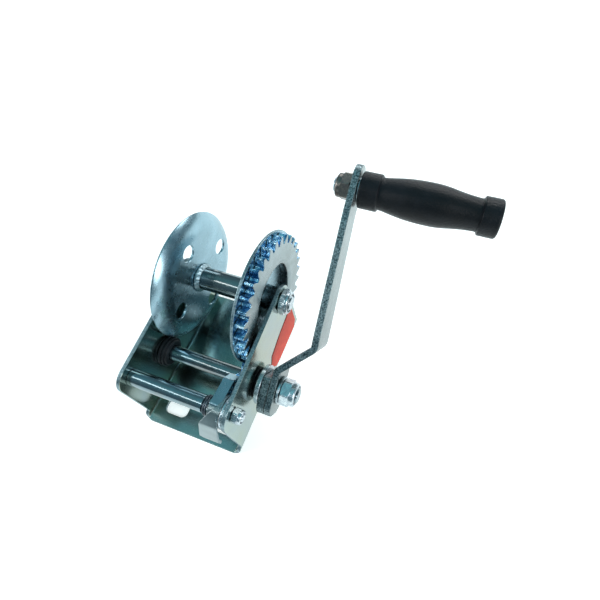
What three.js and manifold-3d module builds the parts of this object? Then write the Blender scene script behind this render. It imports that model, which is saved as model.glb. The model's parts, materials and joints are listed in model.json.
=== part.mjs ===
// Boat trailer winch: a bent steel bracket, a flanged drum on a fixed axle, a pinion shaft turned by a
// hand crank, and a ratchet pawl on a cross bolt. Millimetres. X runs along the shafts towards the crank,
// Y from the pawl end to the drum end, Z up from the underside of the base. The origin is in the middle
// of the bracket's width, level with the front edges of the side plates.
import * as THREE from "three";
import { mergeVertices } from "three/addons/utils/BufferGeometryUtils.js";
import Module from "manifold-3d";

// ---------------------------------------------------------------- driving dimensions

const SHEET = 3; // bracket sheet thickness
const HALF_WIDTH = 42; // middle of the bracket to the outside of a side plate
const INNER = HALF_WIDTH - SHEET; // middle to the inside of a side plate
const BEND_RADIUS = 5; // outside radius of the bends between base and side plates
const BASE_FRONT = -4.7; // the base reaches a little in front of the side plates
const BASE_BACK = 113.5;
const PLATE_END_RADIUS = 12; // rounded upper corners of the side plates
const GAP = 0.3; // clearance between neighbouring pieces

const M12 = 6; // nominal thread radii
const M6 = 3;

const AXLE = { y: 99, z: 62.5 }; // drum axle centre
const PAWL_PIVOT = { y: 13, z: 54.5 }; // cross bolt centre
const CRANK_ANGLE = THREE.MathUtils.degToRad(33); // crank arm above the +Y direction, as stored

const GEAR_TEETH = 32; // a quarter turn of the drum moves the pinion by whole teeth
const PINION_TEETH = 11;
const CENTRE_DISTANCE = 63.2;
const BACKLASH = 0.2; // extra centre distance, so that the teeth run free
const MODULE = (2 * (CENTRE_DISTANCE - BACKLASH)) / (GEAR_TEETH + PINION_TEETH); // tooth size
const PINION_DIRECTION = THREE.MathUtils.degToRad(209.2); // from the drum axle to the pinion shaft
const GEAR_PHASE = THREE.MathUtils.degToRad(9.04); // angle of a gear tooth's centre line

const DRUM = {
  barrelRadius: 9,
  boreRadius: 6.4,
  flangeRadius: 51.2,
  flangeSheet: 2,
  leftFace: -27, // rope side of the left flange's flat middle
  rightFace: 27.2, // rope side of the right flange
  flareStart: 35, // radius where the left flange begins to curve outwards
  flareDepth: 7.5, // how far its rim stands back from the flat middle
  holeCircle: 31.4,
  holeRadius: 6.5,
};

const GEAR = { front: 36.5, back: 29.5, recessRadius: 26.7, recessRound: 3.2 };
const PINION = { front: 37.6, back: 29.6 };

const CRANK = {
  reach: 156, // pinion shaft centre to grip centre
  bar: 5, // arm thickness
  hubMiddle: 56.5, // arm's mid-plane at the pinion shaft
  hubEnd: 19.5, // arm past the pinion shaft
  hubHalfWidth: 12.5,
  firstBend: 16,
  secondBend: 39.5,
  outerMiddle: 79.3, // arm's mid-plane at its second bend
  gripMiddle: 75.8, // arm's mid-plane at the grip
  levelStart: 138, // from here on the arm is square to the grip
  wideHalf: 16,
  narrowHalf: 11.2,
  tip: 173,
};

// ---------------------------------------------------------------- materials

function finish(color, roughness, metalness) {
  return new THREE.MeshStandardMaterial({ color, roughness, metalness });
}
const ZINC = () => finish(0xa9bcc4, 0.3, 1);
const GEAR_ZINC = () => finish(0x9fb4c4, 0.28, 1);
const BOLT_ZINC = () => finish(0xc3ccd0, 0.3, 1);
const BLACK_PLASTIC = () => finish(0x17181b, 0.55, 0);
const BARE_STEEL = () => finish(0x77808a, 0.4, 1);
const LABEL_RED = () => finish(0xd9513f, 0.5, 0);

// ---------------------------------------------------------------- solids and booleans

const wasm = await Module();
wasm.setup();

// A closed three.js geometry as a manifold solid.
function solid(geometry) {
  const bare = geometry.clone();
  bare.deleteAttribute("normal");
  bare.deleteAttribute("uv");
  const merged = mergeVertices(bare, 1e-4);
  const corners = [];
  const index = merged.index.array;
  for (let i = 0; i < index.length; i += 3) {
    const [a, b, c] = [index[i], index[i + 1], index[i + 2]];
    if (a !== b && b !== c && c !== a) corners.push(a, b, c);
  }
  const vertProperties = merged.attributes.position.array;
  const triVerts = new Uint32Array(corners);
  return new wasm.Manifold(new wasm.Mesh({ numProp: 3, vertProperties, triVerts }));
}

// A manifold solid as a three.js geometry.
function geometryOf(body) {
  const mesh = body.getMesh();
  const positions = new Float32Array(mesh.numVert * 3);
  for (let i = 0; i < mesh.numVert; i++) {
    positions.set(mesh.vertProperties.subarray(i * mesh.numProp, i * mesh.numProp + 3), i * 3);
  }
  const geometry = new THREE.BufferGeometry();
  geometry.setAttribute("position", new THREE.BufferAttribute(positions, 3));
  geometry.setIndex(new THREE.BufferAttribute(new Uint32Array(mesh.triVerts), 1));
  geometry.computeVertexNormals();
  return geometry;
}

function join(first, ...others) {
  return geometryOf(others.reduce((body, other) => body.add(solid(other)), solid(first)));
}

function cut(first, ...tools) {
  return geometryOf(tools.reduce((body, tool) => body.subtract(solid(tool)), solid(first)));
}

function common(first, ...others) {
  return geometryOf(others.reduce((body, other) => body.intersect(solid(other)), solid(first)));
}

// ---------------------------------------------------------------- shape helpers

// Turns a geometry so that its own x, y and z axes point along the given world directions.
function reorient(geometry, ...directions) {
  const [x, y, z] = directions.map((direction) => new THREE.Vector3(...direction));
  return geometry.applyMatrix4(new THREE.Matrix4().makeBasis(x, y, z));
}

function extrude(shape, depth, curveSegments) {
  return new THREE.ExtrudeGeometry(shape, { depth, curveSegments, bevelEnabled: false });
}

// A shape drawn in (y, z), extruded from x0 to x1.
function alongX(shape, x0, x1, curveSegments = 5) {
  const body = extrude(shape, x1 - x0, curveSegments);
  return reorient(body, [0, 1, 0], [0, 0, 1], [1, 0, 0]).translate(x0, 0, 0);
}

// A shape drawn in (x, z), extruded from y0 to y1.
function alongY(shape, y0, y1, curveSegments = 5) {
  const body = extrude(shape, y1 - y0, curveSegments);
  return reorient(body, [1, 0, 0], [0, 0, 1], [0, -1, 0]).translate(0, y1, 0);
}

// A shape drawn in (x, y), extruded from z0 to z1.
function alongZ(shape, z0, z1, curveSegments = 5) {
  return extrude(shape, z1 - z0, curveSegments).translate(0, 0, z0);
}

// A profile of [x, radius] points turned about the X axis.
function turned(profile, segments = 28) {
  const points = profile.map(([x, r]) => new THREE.Vector2(r, x));
  return reorient(new THREE.LatheGeometry(points, segments), [0, 0, 1], [1, 0, 0], [0, 1, 0]);
}

// A rod along X.
function rod(radius, x0, x1, segments = 24) {
  return turned([[x0, 0], [x0, radius], [x1, radius], [x1, 0]], segments);
}

// A rod along Z, for drilling the base.
function upright(radius, x, y, z0, z1, segments = 24) {
  return new THREE.CylinderGeometry(radius, radius, z1 - z0, segments)
    .rotateX(Math.PI / 2)
    .translate(x, y, (z0 + z1) / 2);
}

// A ring of rectangular section along X.
function ring(outer, inner, x0, x1, segments = 28) {
  return turned([[x0, inner], [x0, outer], [x1, outer], [x1, inner], [x0, inner]], segments);
}

// A closed outline through corners [x, y, radius], each corner rounded to its radius.
function roundedShape(corners) {
  const shape = new THREE.Shape();
  const goTo = (x, y, first) => (first ? shape.moveTo(x, y) : shape.lineTo(x, y));
  corners.forEach(([x, y, radius = 0], i) => {
    const corner = new THREE.Vector2(x, y);
    if (!radius) {
      goTo(x, y, i === 0);
      return;
    }
    const before = new THREE.Vector2(...corners.at(i - 1)).sub(corner).normalize();
    const after = new THREE.Vector2(...corners[(i + 1) % corners.length]).sub(corner).normalize();
    const half = Math.acos(THREE.MathUtils.clamp(before.dot(after), -1, 1)) / 2;
    const centre = before.clone().add(after).normalize().multiplyScalar(radius / Math.sin(half)).add(corner);
    const start = before.multiplyScalar(radius / Math.tan(half)).add(corner);
    const end = after.multiplyScalar(radius / Math.tan(half)).add(corner);
    const enter = start.clone().sub(centre).angle();
    const leave = end.sub(centre).angle();
    goTo(start.x, start.y, i === 0);
    shape.absarc(centre.x, centre.y, radius, enter, leave, Math.sin(leave - enter) < 0);
  });
  shape.closePath();
  return shape;
}

// The outline of a strip of constant thickness along a bent centre line, with rounded bends.
function stripShape(line, thickness, innerRadius) {
  const points = line.map(([x, y]) => new THREE.Vector2(x, y));
  const directions = points.slice(1).map((point, i) => point.clone().sub(points[i]).normalize());
  const side = (sign) =>
    points.map((point, i) => {
      const a = directions[Math.max(i - 1, 0)];
      const b = directions[Math.min(i, directions.length - 1)];
      const normal = new THREE.Vector2(-a.y - b.y, a.x + b.x).normalize();
      const reach = thickness / 2 / normal.dot(new THREE.Vector2(-a.y, a.x));
      const turn = Math.sign(a.cross(b)) * sign;
      const ends = i === 0 || i === points.length - 1;
      const radius = ends ? 0 : innerRadius + (turn > 0 ? 0 : thickness);
      return [point.x + sign * reach * normal.x, point.y + sign * reach * normal.y, radius];
    });
  return roundedShape([...side(1).reverse(), ...side(-1)]);
}

// A hexagon of the given width across flats, drawn in (y, z).
function hexagon(acrossFlats) {
  const radius = acrossFlats / Math.sqrt(3);
  const corners = [0, 1, 2, 3, 4, 5].map((k) => {
    const angle = (k * Math.PI) / 3;
    return [radius * Math.cos(angle), radius * Math.sin(angle)];
  });
  return roundedShape(corners);
}

// A hexagonal prism along X whose corners are chamfered at its outer end (and inner end, if wanted).
function hexBlock(acrossFlats, x0, x1, chamferStart = true, chamferEnd = true) {
  const corner = acrossFlats / Math.sqrt(3);
  const flat = acrossFlats / 2;
  const chamfer = (corner - flat) * 0.65;
  const cone = turned(
    [
      [x0, 0],
      [x0, chamferStart ? flat : corner + 1],
      [x0 + (chamferStart ? chamfer : 0), corner + (chamferStart ? 0.02 : 1)],
      [x1 - (chamferEnd ? chamfer : 0), corner + (chamferEnd ? 0.02 : 1)],
      [x1, chamferEnd ? flat : corner + 1],
      [x1, 0],
    ],
    24,
  );
  return common(alongX(hexagon(acrossFlats), x0, x1), cone);
}

// A self-locking hex nut along X: a hexagon with a low domed collar at its outer end.
function lockNut(boltRadius, acrossFlats, x0, x1) {
  const length = x1 - x0;
  const direction = Math.sign(length);
  const hexEnd = x0 + 0.64 * length;
  const [low, high] = [Math.min(x0, hexEnd), Math.max(x0, hexEnd)];
  const collar = acrossFlats / 2 - 0.2;
  const rounding = 0.08 * acrossFlats;
  const profile = [
    [hexEnd - direction, 0],
    [hexEnd - direction, collar],
    [x1 - rounding * direction, collar],
    [x1, collar - rounding],
    [x1, 0],
  ];
  const dome = turned(direction > 0 ? profile : profile.reverse(), 24);
  const bore = rod(boltRadius + GAP, Math.min(x0, x1) - 1, Math.max(x0, x1) + 1);
  return cut(join(hexBlock(acrossFlats, low, high), dome), bore);
}

// ---------------------------------------------------------------- gear teeth

// The outline of a spur gear in (y, z), with one tooth centred on the phase angle.
function gearShape(teeth, phase, thinning) {
  const pitch = (MODULE * teeth) / 2;
  const tip = pitch + 0.95 * MODULE;
  const root = pitch - 1.2 * MODULE;
  const step = (2 * Math.PI) / teeth;
  const half = (radius, width) => width / 2 / radius;
  const pitchWidth = (Math.PI * MODULE) / 2 - thinning;
  const flank = [
    [root, half(root, pitchWidth * 1.45)],
    [pitch - 0.45 * MODULE, half(pitch, pitchWidth * 1.24)],
    [pitch, half(pitch, pitchWidth)],
    [pitch + 0.5 * MODULE, half(pitch + 0.5 * MODULE, pitchWidth * 0.74)],
    [tip, half(tip, pitchWidth * 0.4)],
  ];
  const shape = new THREE.Shape();
  for (let tooth = 0; tooth < teeth; tooth++) {
    const middle = phase + tooth * step;
    const rising = flank.map(([radius, angle]) => [radius, middle - angle]);
    const falling = flank.map(([radius, angle]) => [radius, middle + angle]).reverse();
    [...rising, ...falling].forEach(([radius, angle], i) => {
      const [y, z] = [radius * Math.cos(angle), radius * Math.sin(angle)];
      if (tooth || i) shape.lineTo(y, z);
      else shape.moveTo(y, z);
    });
  }
  shape.closePath();
  return shape;
}

// ---------------------------------------------------------------- scene graph

const winch = new THREE.Group();

function add(parent, name, geometry, material) {
  const mesh = new THREE.Mesh(geometry, material);
  mesh.name = name;
  parent.add(mesh);
  return mesh;
}

function groupAt(parent, x, y, z, turn = 0) {
  const group = new THREE.Group();
  group.position.set(x, y, z);
  group.rotation.x = turn;
  parent.add(group);
  return group;
}

const pinionCentre = {
  y: AXLE.y + CENTRE_DISTANCE * Math.cos(PINION_DIRECTION),
  z: AXLE.z + CENTRE_DISTANCE * Math.sin(PINION_DIRECTION),
};

// ---------------------------------------------------------------- bracket

// The U section of base and side plates, in (x, z).
function bracketSection(top) {
  const outer = BEND_RADIUS;
  const inner = BEND_RADIUS - SHEET;
  return roundedShape([
    [-HALF_WIDTH, top],
    [-HALF_WIDTH, 0, outer],
    [HALF_WIDTH, 0, outer],
    [HALF_WIDTH, top],
    [INNER, top],
    [INNER, SHEET, inner],
    [-INNER, SHEET, inner],
    [-INNER, top],
  ]);
}

// The side view of the bracket, in (y, z): both upper corners are rounded about the shafts they hold.
function bracketSideView() {
  const radius = PLATE_END_RADIUS;
  const frontEdge = PAWL_PIVOT.y - radius;
  const slope = Math.atan2(AXLE.z - PAWL_PIVOT.z, AXLE.y - PAWL_PIVOT.y);
  const edgeAt = (y) => PAWL_PIVOT.z + radius / Math.cos(slope) + (y - PAWL_PIVOT.y) * Math.tan(slope);
  const backTop = AXLE.y + radius - 0.5;
  const lip = SHEET + 0.4;
  return roundedShape([
    [BASE_FRONT, -1],
    [BASE_BACK, -1],
    [backTop, edgeAt(backTop), radius - 0.5],
    [frontEdge, edgeAt(frontEdge), radius],
    [frontEdge, lip, 1.5],
    [BASE_FRONT, lip],
  ]);
}

// A slot across the base, from z0 to z1.
function slotTool(x, y, length, width) {
  const [dx, dy] = [length / 2, width / 2];
  const corner = width * 0.35;
  const outline = roundedShape([
    [x - dx, y - dy, corner],
    [x + dx, y - dy, corner],
    [x + dx, y + dy, corner],
    [x - dx, y + dy, corner],
  ]);
  return alongZ(outline, -1, SHEET + 1);
}

const SLOT = { x: 20.5, y: 10.5, length: 19, width: 11 };
const REAR_HOLE = { y: 92, radius: 5.5 };
const BUSH_HOLE = 9.4;

function bracket() {
  const section = alongY(bracketSection(AXLE.z + 20), BASE_FRONT, BASE_BACK, 4);
  const sides = alongX(bracketSideView(), -HALF_WIDTH - 1, HALF_WIDTH + 1, 5);
  const corner = 6;
  const plan = roundedShape([
    [-HALF_WIDTH - 1, BASE_FRONT + 3],
    [-HALF_WIDTH + corner, BASE_FRONT, 3],
    [HALF_WIDTH - corner, BASE_FRONT, 3],
    [HALF_WIDTH + 1, BASE_FRONT + 3],
    [HALF_WIDTH + 1, BASE_BACK + 1],
    [-HALF_WIDTH - 1, BASE_BACK + 1],
  ]);
  const body = common(section, sides, alongZ(plan, -1, AXLE.z + 20));
  const across = (radius, { y, z }) => rod(radius, -HALF_WIDTH - 1, HALF_WIDTH + 1).translate(0, y, z);
  return cut(
    body,
    across(M12 + GAP, AXLE),
    across(M6 + GAP, PAWL_PIVOT),
    across(BUSH_HOLE, pinionCentre),
    slotTool(-SLOT.x, SLOT.y, SLOT.length, SLOT.width),
    slotTool(SLOT.x, SLOT.y, SLOT.length, SLOT.width),
    upright(REAR_HOLE.radius, 0, REAR_HOLE.y, -1, SHEET + 1),
  );
}

add(winch, "frame_bracket", bracket(), ZINC());

// Plain label stuck on the crank side plate, low down beside the base bend.
function label() {
  const [x0, x1] = [HALF_WIDTH + 0.05, HALF_WIDTH + 0.35];
  const outline = roundedShape([
    [61.5, 18],
    [67, 7.5],
    [75, 5.6],
    [105, 5.6],
    [109.5, 12],
    [108.5, 33],
    [103, 37.5],
    [84, 34],
    [66.5, 28.5],
  ]);
  return alongX(outline, x0, x1);
}

add(winch, "warning_label", label(), LABEL_RED());

// ---------------------------------------------------------------- drum axle, fixed in the bracket

const axleGroup = groupAt(winch, 0, AXLE.y, AXLE.z);
const BOLT_SEAT = -HALF_WIDTH - GAP; // under the bolt heads, on the left plate
const NUT_SEAT = HALF_WIDTH + GAP; // under the nuts, on the right plate
const BOLT_TIP = 0.8; // chamfer at the end of a bolt
const M12_FLATS = 18;
const M12_HEAD = 7.5;
const AXLE_NUT = 6.8; // a thin nut

// A bolt's plain shank with a chamfered tip, starting inside its head.
function shank(radius, start, end) {
  const profile = [
    [start, 0],
    [start, radius],
    [end - BOLT_TIP, radius],
    [end, radius - BOLT_TIP],
    [end, 0],
  ];
  return turned(profile, 24);
}

function hexBolt(radius, acrossFlats, headHeight, seat, end) {
  return join(hexBlock(acrossFlats, seat - headHeight, seat, true, false), shank(radius, seat - 1, end));
}

const axleBolt = hexBolt(M12, M12_FLATS, M12_HEAD, BOLT_SEAT, NUT_SEAT + AXLE_NUT + 0.8);
add(axleGroup, "axle_bolt", axleBolt, BOLT_ZINC());
add(axleGroup, "axle_nut", lockNut(M12, M12_FLATS, NUT_SEAT, NUT_SEAT + AXLE_NUT), BOLT_ZINC());

// Spacer tubes keep the drum in the middle of the bracket.
const SPACER_RADIUS = 9.5;
const leftSpacerEnd = DRUM.leftFace - DRUM.flangeSheet - GAP;
const rightSpacerStart = DRUM.rightFace + DRUM.flangeSheet + GAP;
const leftSpacer = ring(SPACER_RADIUS, M12 + GAP, -INNER + GAP, leftSpacerEnd);
const rightSpacer = ring(SPACER_RADIUS, M12 + GAP, rightSpacerStart, INNER - GAP);
add(axleGroup, "left_drum_spacer", leftSpacer, ZINC());
add(axleGroup, "right_drum_spacer", rightSpacer, ZINC());

// ---------------------------------------------------------------- drum

const drumGroup = groupAt(winch, 0, AXLE.y, AXLE.z);

// Left flange: flat in the middle, curving away from the rope towards its rim.
function leftFlange() {
  const { leftFace, flangeSheet, flangeRadius, flareStart, flareDepth } = DRUM;
  const { holeCircle, holeRadius, boreRadius } = DRUM;
  const run = flangeRadius - flareStart;
  const sweep = 2 * Math.atan(flareDepth / run);
  const bend = run / Math.sin(sweep);
  const steps = 5;
  const arc = (offset) =>
    Array.from({ length: steps + 1 }, (_, i) => {
      const angle = (sweep * i) / steps;
      const reach = bend - offset;
      return [leftFace - bend + reach * Math.cos(angle), flareStart + reach * Math.sin(angle)];
    });
  const profile = [
    [leftFace - flangeSheet, boreRadius],
    ...arc(flangeSheet),
    ...arc(0).reverse(),
    [leftFace, boreRadius],
    [leftFace - flangeSheet, boreRadius],
  ];
  const holes = [0, 1, 2, 3].map((k) => {
    const angle = (k * Math.PI) / 2;
    const hole = rod(holeRadius, leftFace - flangeSheet - 1, leftFace + 1);
    return hole.translate(0, holeCircle * Math.cos(angle), holeCircle * Math.sin(angle));
  });
  return cut(turned(profile, 48), ...holes);
}

// Gear plate: teeth round the outside and a recess in the middle whose front edge is rounded.
function drumGear() {
  const { front, back, recessRadius, recessRound } = GEAR;
  const teeth = alongX(gearShape(GEAR_TEETH, GEAR_PHASE, 0.35), back, front);
  const steps = 3;
  const mouth = Array.from({ length: steps + 1 }, (_, i) => {
    const angle = (i / steps) * (Math.PI / 2);
    const radius = recessRadius + recessRound * (1 - Math.cos(angle));
    return [front - recessRound * (1 - Math.sin(angle)), radius];
  });
  const profile = [
    [back - 1, 0],
    [back - 1, recessRadius],
    ...mouth,
    [front + 1, recessRadius + recessRound],
    [front + 1, 0],
  ];
  return cut(teeth, turned(profile, 40));
}

// A fillet weld between the barrel and a flange.
function weldBead(flangeFace, direction) {
  const [x0, x1] = [flangeFace + GAP * direction, flangeFace + 3.8 * direction];
  const inner = DRUM.barrelRadius + GAP;
  const profile = [
    [x0, inner],
    [x0, inner + 2.8],
    [x0 + 1.4 * direction, inner + 2.1],
    [x1, inner + 0.6],
    [x1, inner],
    [x0, inner],
  ];
  return turned(direction > 0 ? profile : profile.reverse(), 24);
}

function barrel() {
  return ring(DRUM.barrelRadius, DRUM.boreRadius, DRUM.leftFace + GAP, DRUM.rightFace - GAP);
}

// Right flange: a flat disc behind the gear.
function rightFlange() {
  const face = DRUM.rightFace;
  return ring(DRUM.flangeRadius + 0.3, DRUM.boreRadius, face, face + DRUM.flangeSheet, 56);
}

add(drumGroup, "drum_barrel", barrel(), ZINC());
add(drumGroup, "left_flange", leftFlange(), ZINC());
add(drumGroup, "right_flange", rightFlange(), ZINC());
add(drumGroup, "drum_gear", drumGear(), GEAR_ZINC());
add(drumGroup, "left_weld_bead", weldBead(DRUM.leftFace, 1), BOLT_ZINC());
add(drumGroup, "right_weld_bead", weldBead(DRUM.rightFace, -1), BOLT_ZINC());

// ---------------------------------------------------------------- pinion shaft bushes, fixed in the bracket

const shaftGroup = groupAt(winch, 0, pinionCentre.y, pinionCentre.z);
const NECK = BUSH_HOLE - GAP;

// Black bush with a ringed collar on the inside of the left plate and a neck through it.
function leftBush() {
  const wall = -INNER + GAP;
  return turned([
    [-HALF_WIDTH, M12 + GAP],
    [-HALF_WIDTH, NECK],
    [wall, NECK],
    [wall, 11.7],
    [wall + 1.9, 11.7],
    [wall + 2.3, 10.6],
    [wall + 2.8, 10.6],
    [wall + 3.2, 11.6],
    [wall + 4.6, 11.6],
    [wall + 5.2, 10.2],
    [wall + 6.4, 9.4],
    [wall + 6.4, M12 + GAP],
    [-HALF_WIDTH, M12 + GAP],
  ]);
}

// Matching bush in the right plate, with its collar on the outside.
const bushStart = INNER - 0.6;
const bushFace = NUT_SEAT + 2;

function rightBush() {
  return turned([
    [bushStart, M12 + GAP],
    [bushStart, NECK],
    [NUT_SEAT, NECK],
    [NUT_SEAT, 11.5],
    [bushFace, 11.5],
    [bushFace, M12 + GAP],
    [bushStart, M12 + GAP],
  ]);
}

add(shaftGroup, "left_shaft_bush", leftBush(), BLACK_PLASTIC());
add(shaftGroup, "right_shaft_bush", rightBush(), BLACK_PLASTIC());

// ---------------------------------------------------------------- crank, with the pinion on its shaft

// In this group Y runs along the arm towards the grip and Z across its width.
const crankGroup = groupAt(winch, 0, pinionCentre.y, pinionCentre.z, CRANK_ANGLE);
const CLIP_GROOVE = 5.2; // shaft radius under the retaining clip
const CLIP_SHEET = 1.5;
const CLIP_PLAY = 0.1; // between the clip and its groove
const clipStart = BOLT_SEAT - CLIP_SHEET - CLIP_PLAY;
const clipEnd = clipStart + CLIP_SHEET;
const SHAFT_START = clipStart - 3;
const SHAFT_END = 74;

function pinionShaft() {
  const profile = [
    [SHAFT_START, 0],
    [SHAFT_START, M12 - BOLT_TIP],
    [SHAFT_START + BOLT_TIP, M12],
    [clipStart - CLIP_PLAY, M12],
    [clipStart - CLIP_PLAY, CLIP_GROOVE],
    [clipEnd + CLIP_PLAY, CLIP_GROOVE],
    [clipEnd + CLIP_PLAY, M12],
    [SHAFT_END - BOLT_TIP, M12],
    [SHAFT_END, M12 - BOLT_TIP],
    [SHAFT_END, 0],
  ];
  return turned(profile, 24);
}

// Retaining clip snapped into the groove at the free end of the shaft.
function shaftClip() {
  const disc = ring(10, CLIP_GROOVE + CLIP_PLAY, clipStart, clipEnd, 24);
  const mouth = roundedShape([[-3.4, 0], [3.4, 0], [4.4, -12], [-4.4, -12]]);
  return cut(disc, alongX(mouth, clipStart - 1, clipEnd + 1));
}

// The pinion gap that faces the gear lines up with the gear tooth beside the line of centres.
function pinionPhase() {
  const gearStep = (2 * Math.PI) / GEAR_TEETH;
  const count = Math.round((PINION_DIRECTION - GEAR_PHASE) / gearStep);
  const offset = GEAR_PHASE + count * gearStep - PINION_DIRECTION;
  const gap = PINION_DIRECTION + Math.PI - (offset * GEAR_TEETH) / PINION_TEETH;
  return gap + Math.PI / PINION_TEETH - CRANK_ANGLE;
}

function pinionGear() {
  const teeth = alongX(gearShape(PINION_TEETH, pinionPhase(), 0.35), PINION.back, PINION.front);
  return cut(teeth, rod(M12 + GAP, PINION.back - 1, PINION.front + 1));
}

// The arm's bent side view, cut to its outline: wide past the bends and narrowing to the grip.
function crankArm() {
  const line = [
    [CRANK.hubMiddle, -CRANK.hubEnd],
    [CRANK.hubMiddle, CRANK.firstBend],
    [CRANK.outerMiddle, CRANK.secondBend],
    [CRANK.gripMiddle, CRANK.levelStart],
    [CRANK.gripMiddle, CRANK.tip],
  ];
  const bent = alongZ(stripShape(line, CRANK.bar, 3), -CRANK.wideHalf - 2, CRANK.wideHalf + 2, 3);
  const half = [
    [-CRANK.hubEnd, CRANK.hubHalfWidth, 9],
    [12, CRANK.hubHalfWidth, 30],
    [48, CRANK.wideHalf, 30],
    [CRANK.levelStart, CRANK.narrowHalf + 1, 60],
    [CRANK.tip, CRANK.narrowHalf, 10.5],
  ];
  const outline = roundedShape([...half.map(([y, z, r]) => [y, -z, r]), ...half.reverse()]);
  const blank = common(bent, alongX(outline, CRANK.hubMiddle - 10, CRANK.outerMiddle + 10, 4));
  const hubHole = rod(M12 + GAP, CRANK.hubMiddle - 10, CRANK.hubMiddle + 10);
  const gripHole = rod(M12 + GAP, CRANK.gripMiddle - 10, CRANK.gripMiddle + 10).translate(0, CRANK.reach, 0);
  return cut(blank, hubHole, gripHole);
}

const armBack = CRANK.hubMiddle - CRANK.bar / 2;
const armFront = CRANK.hubMiddle + CRANK.bar / 2;
const hubPlateBack = armBack - GAP - 5.6;
const washerEnd = armFront + GAP + 2;
const CRANK_NUT = 11;

// Short plate behind the arm that stiffens it at the shaft.
function hubPlate() {
  const width = CRANK.hubHalfWidth;
  const outline = roundedShape([
    [-CRANK.hubEnd, -width, 9],
    [10, -width, 3],
    [10, width, 3],
    [-CRANK.hubEnd, width, 9],
  ]);
  const plate = alongX(outline, hubPlateBack, armBack - GAP);
  return cut(plate, rod(M12 + GAP, hubPlateBack - 1, armBack + 1));
}

const innerWasher = ring(15, M12 + GAP, bushFace + GAP, hubPlateBack - GAP);
const outerWasher = ring(10.4, M12 + GAP, armFront + GAP, washerEnd);
const crankNut = lockNut(M12, M12_FLATS, washerEnd + GAP, washerEnd + GAP + CRANK_NUT);

add(crankGroup, "pinion_shaft", pinionShaft(), ZINC());
add(crankGroup, "shaft_clip", shaftClip(), BARE_STEEL());
add(crankGroup, "pinion_gear", pinionGear(), BARE_STEEL());
add(crankGroup, "inner_crank_washer", innerWasher, BOLT_ZINC());
add(crankGroup, "hub_plate", hubPlate(), ZINC());
add(crankGroup, "crank_arm", crankArm(), ZINC());
add(crankGroup, "outer_crank_washer", outerWasher, BOLT_ZINC());
add(crankGroup, "crank_nut", crankNut, BOLT_ZINC());

// ---------------------------------------------------------------- grip, turning on its bolt

const gripGroup = groupAt(crankGroup, 0, CRANK.reach, 0);
const gripFace = CRANK.gripMiddle + CRANK.bar / 2; // front of the arm at the grip
const gripBack = CRANK.gripMiddle - CRANK.bar / 2;
const GRIP_WASHER = 0.9;
const gripStart = gripFace + 2 * GAP + GRIP_WASHER;
const HEAD_POCKET = 12; // depth of the pocket that hides the bolt head
const GRIP_NUT = 11;

// Radii along the grip, from the arm to the end: collar, groove, swell, waist and end collar.
const GRIP_PROFILE = [
  [0, 12.2],
  [0.8, 13.3],
  [13.2, 13.3],
  [14.4, 11.6],
  [17, 11.7],
  [21, 12.4],
  [27, 13.4],
  [34, 14.3],
  [43, 15],
  [52, 15],
  [59, 14.2],
  [66, 13],
  [73, 12],
  [80, 11.4],
  [82, 11.5],
  [83.2, 13.5],
  [93.3, 13.5],
  [95, 12.2],
];
const GRIP_END_RADIUS = 11;
const gripEnd = gripStart + GRIP_PROFILE.at(-1)[0];

function grip() {
  const pocket = gripEnd - HEAD_POCKET;
  return turned([
    [gripStart, M12 + GAP],
    ...GRIP_PROFILE.map(([along, radius]) => [gripStart + along, radius]),
    [gripEnd, GRIP_END_RADIUS],
    [pocket, GRIP_END_RADIUS],
    [pocket, M12 + GAP],
    [gripStart, M12 + GAP],
  ]);
}

// The bolt enters from the grip's end and is locked by a nut behind the arm.
function gripBolt() {
  const seat = gripEnd - HEAD_POCKET + GAP;
  const tail = gripBack - GAP - GRIP_NUT - 2;
  const head = hexBlock(M12_FLATS - 0.5, seat, seat + M12_HEAD, false, true);
  return join(head, reorient(shank(M12, -seat - 1, -tail), [-1, 0, 0], [0, -1, 0], [0, 0, 1]));
}

const gripWasher = ring(9.5, M12 + GAP, gripFace + GAP, gripFace + GAP + GRIP_WASHER);
const gripNut = lockNut(M12, M12_FLATS, gripBack - GAP, gripBack - GAP - GRIP_NUT);
add(gripGroup, "grip", grip(), BLACK_PLASTIC());
add(gripGroup, "grip_bolt", gripBolt(), BOLT_ZINC());
add(gripGroup, "grip_washer", gripWasher, BOLT_ZINC());
add(gripGroup, "grip_nut", gripNut, BARE_STEEL());

// ---------------------------------------------------------------- pawl bolt, fixed across the bracket

const pawlGroup = groupAt(winch, 0, PAWL_PIVOT.y, PAWL_PIVOT.z);
const PAWL = {
  left: 26,
  right: 36.6,
  hubRadius: 7.6,
  cheekRadius: 11.5,
  cheekSheet: 2,
  releasedBy: THREE.MathUtils.degToRad(15.8), // from the engaged to the stored position
};
const SPRING = { start: 20.6, end: 25.4, wire: 0.7, radius: 6.4, turns: 2, leg: 9 };
const PAWL_NUT = { acrossFlats: 10, length: 6.6 };
const PAWL_BOLT_HEAD = { radius: 6.2, rim: 0.7, height: 2.4 };

// The cross bolt has a low domed head.
function pawlBolt() {
  const { radius, rim, height } = PAWL_BOLT_HEAD;
  const head = turned([
    [BOLT_SEAT - height, 0],
    [BOLT_SEAT - height, radius * 0.35],
    [BOLT_SEAT - 0.75 * height, radius * 0.72],
    [BOLT_SEAT - rim, radius],
    [BOLT_SEAT, radius],
    [BOLT_SEAT, 0],
  ]);
  return join(head, shank(M6, BOLT_SEAT - 1, NUT_SEAT + PAWL_NUT.length + 0.5));
}

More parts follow.
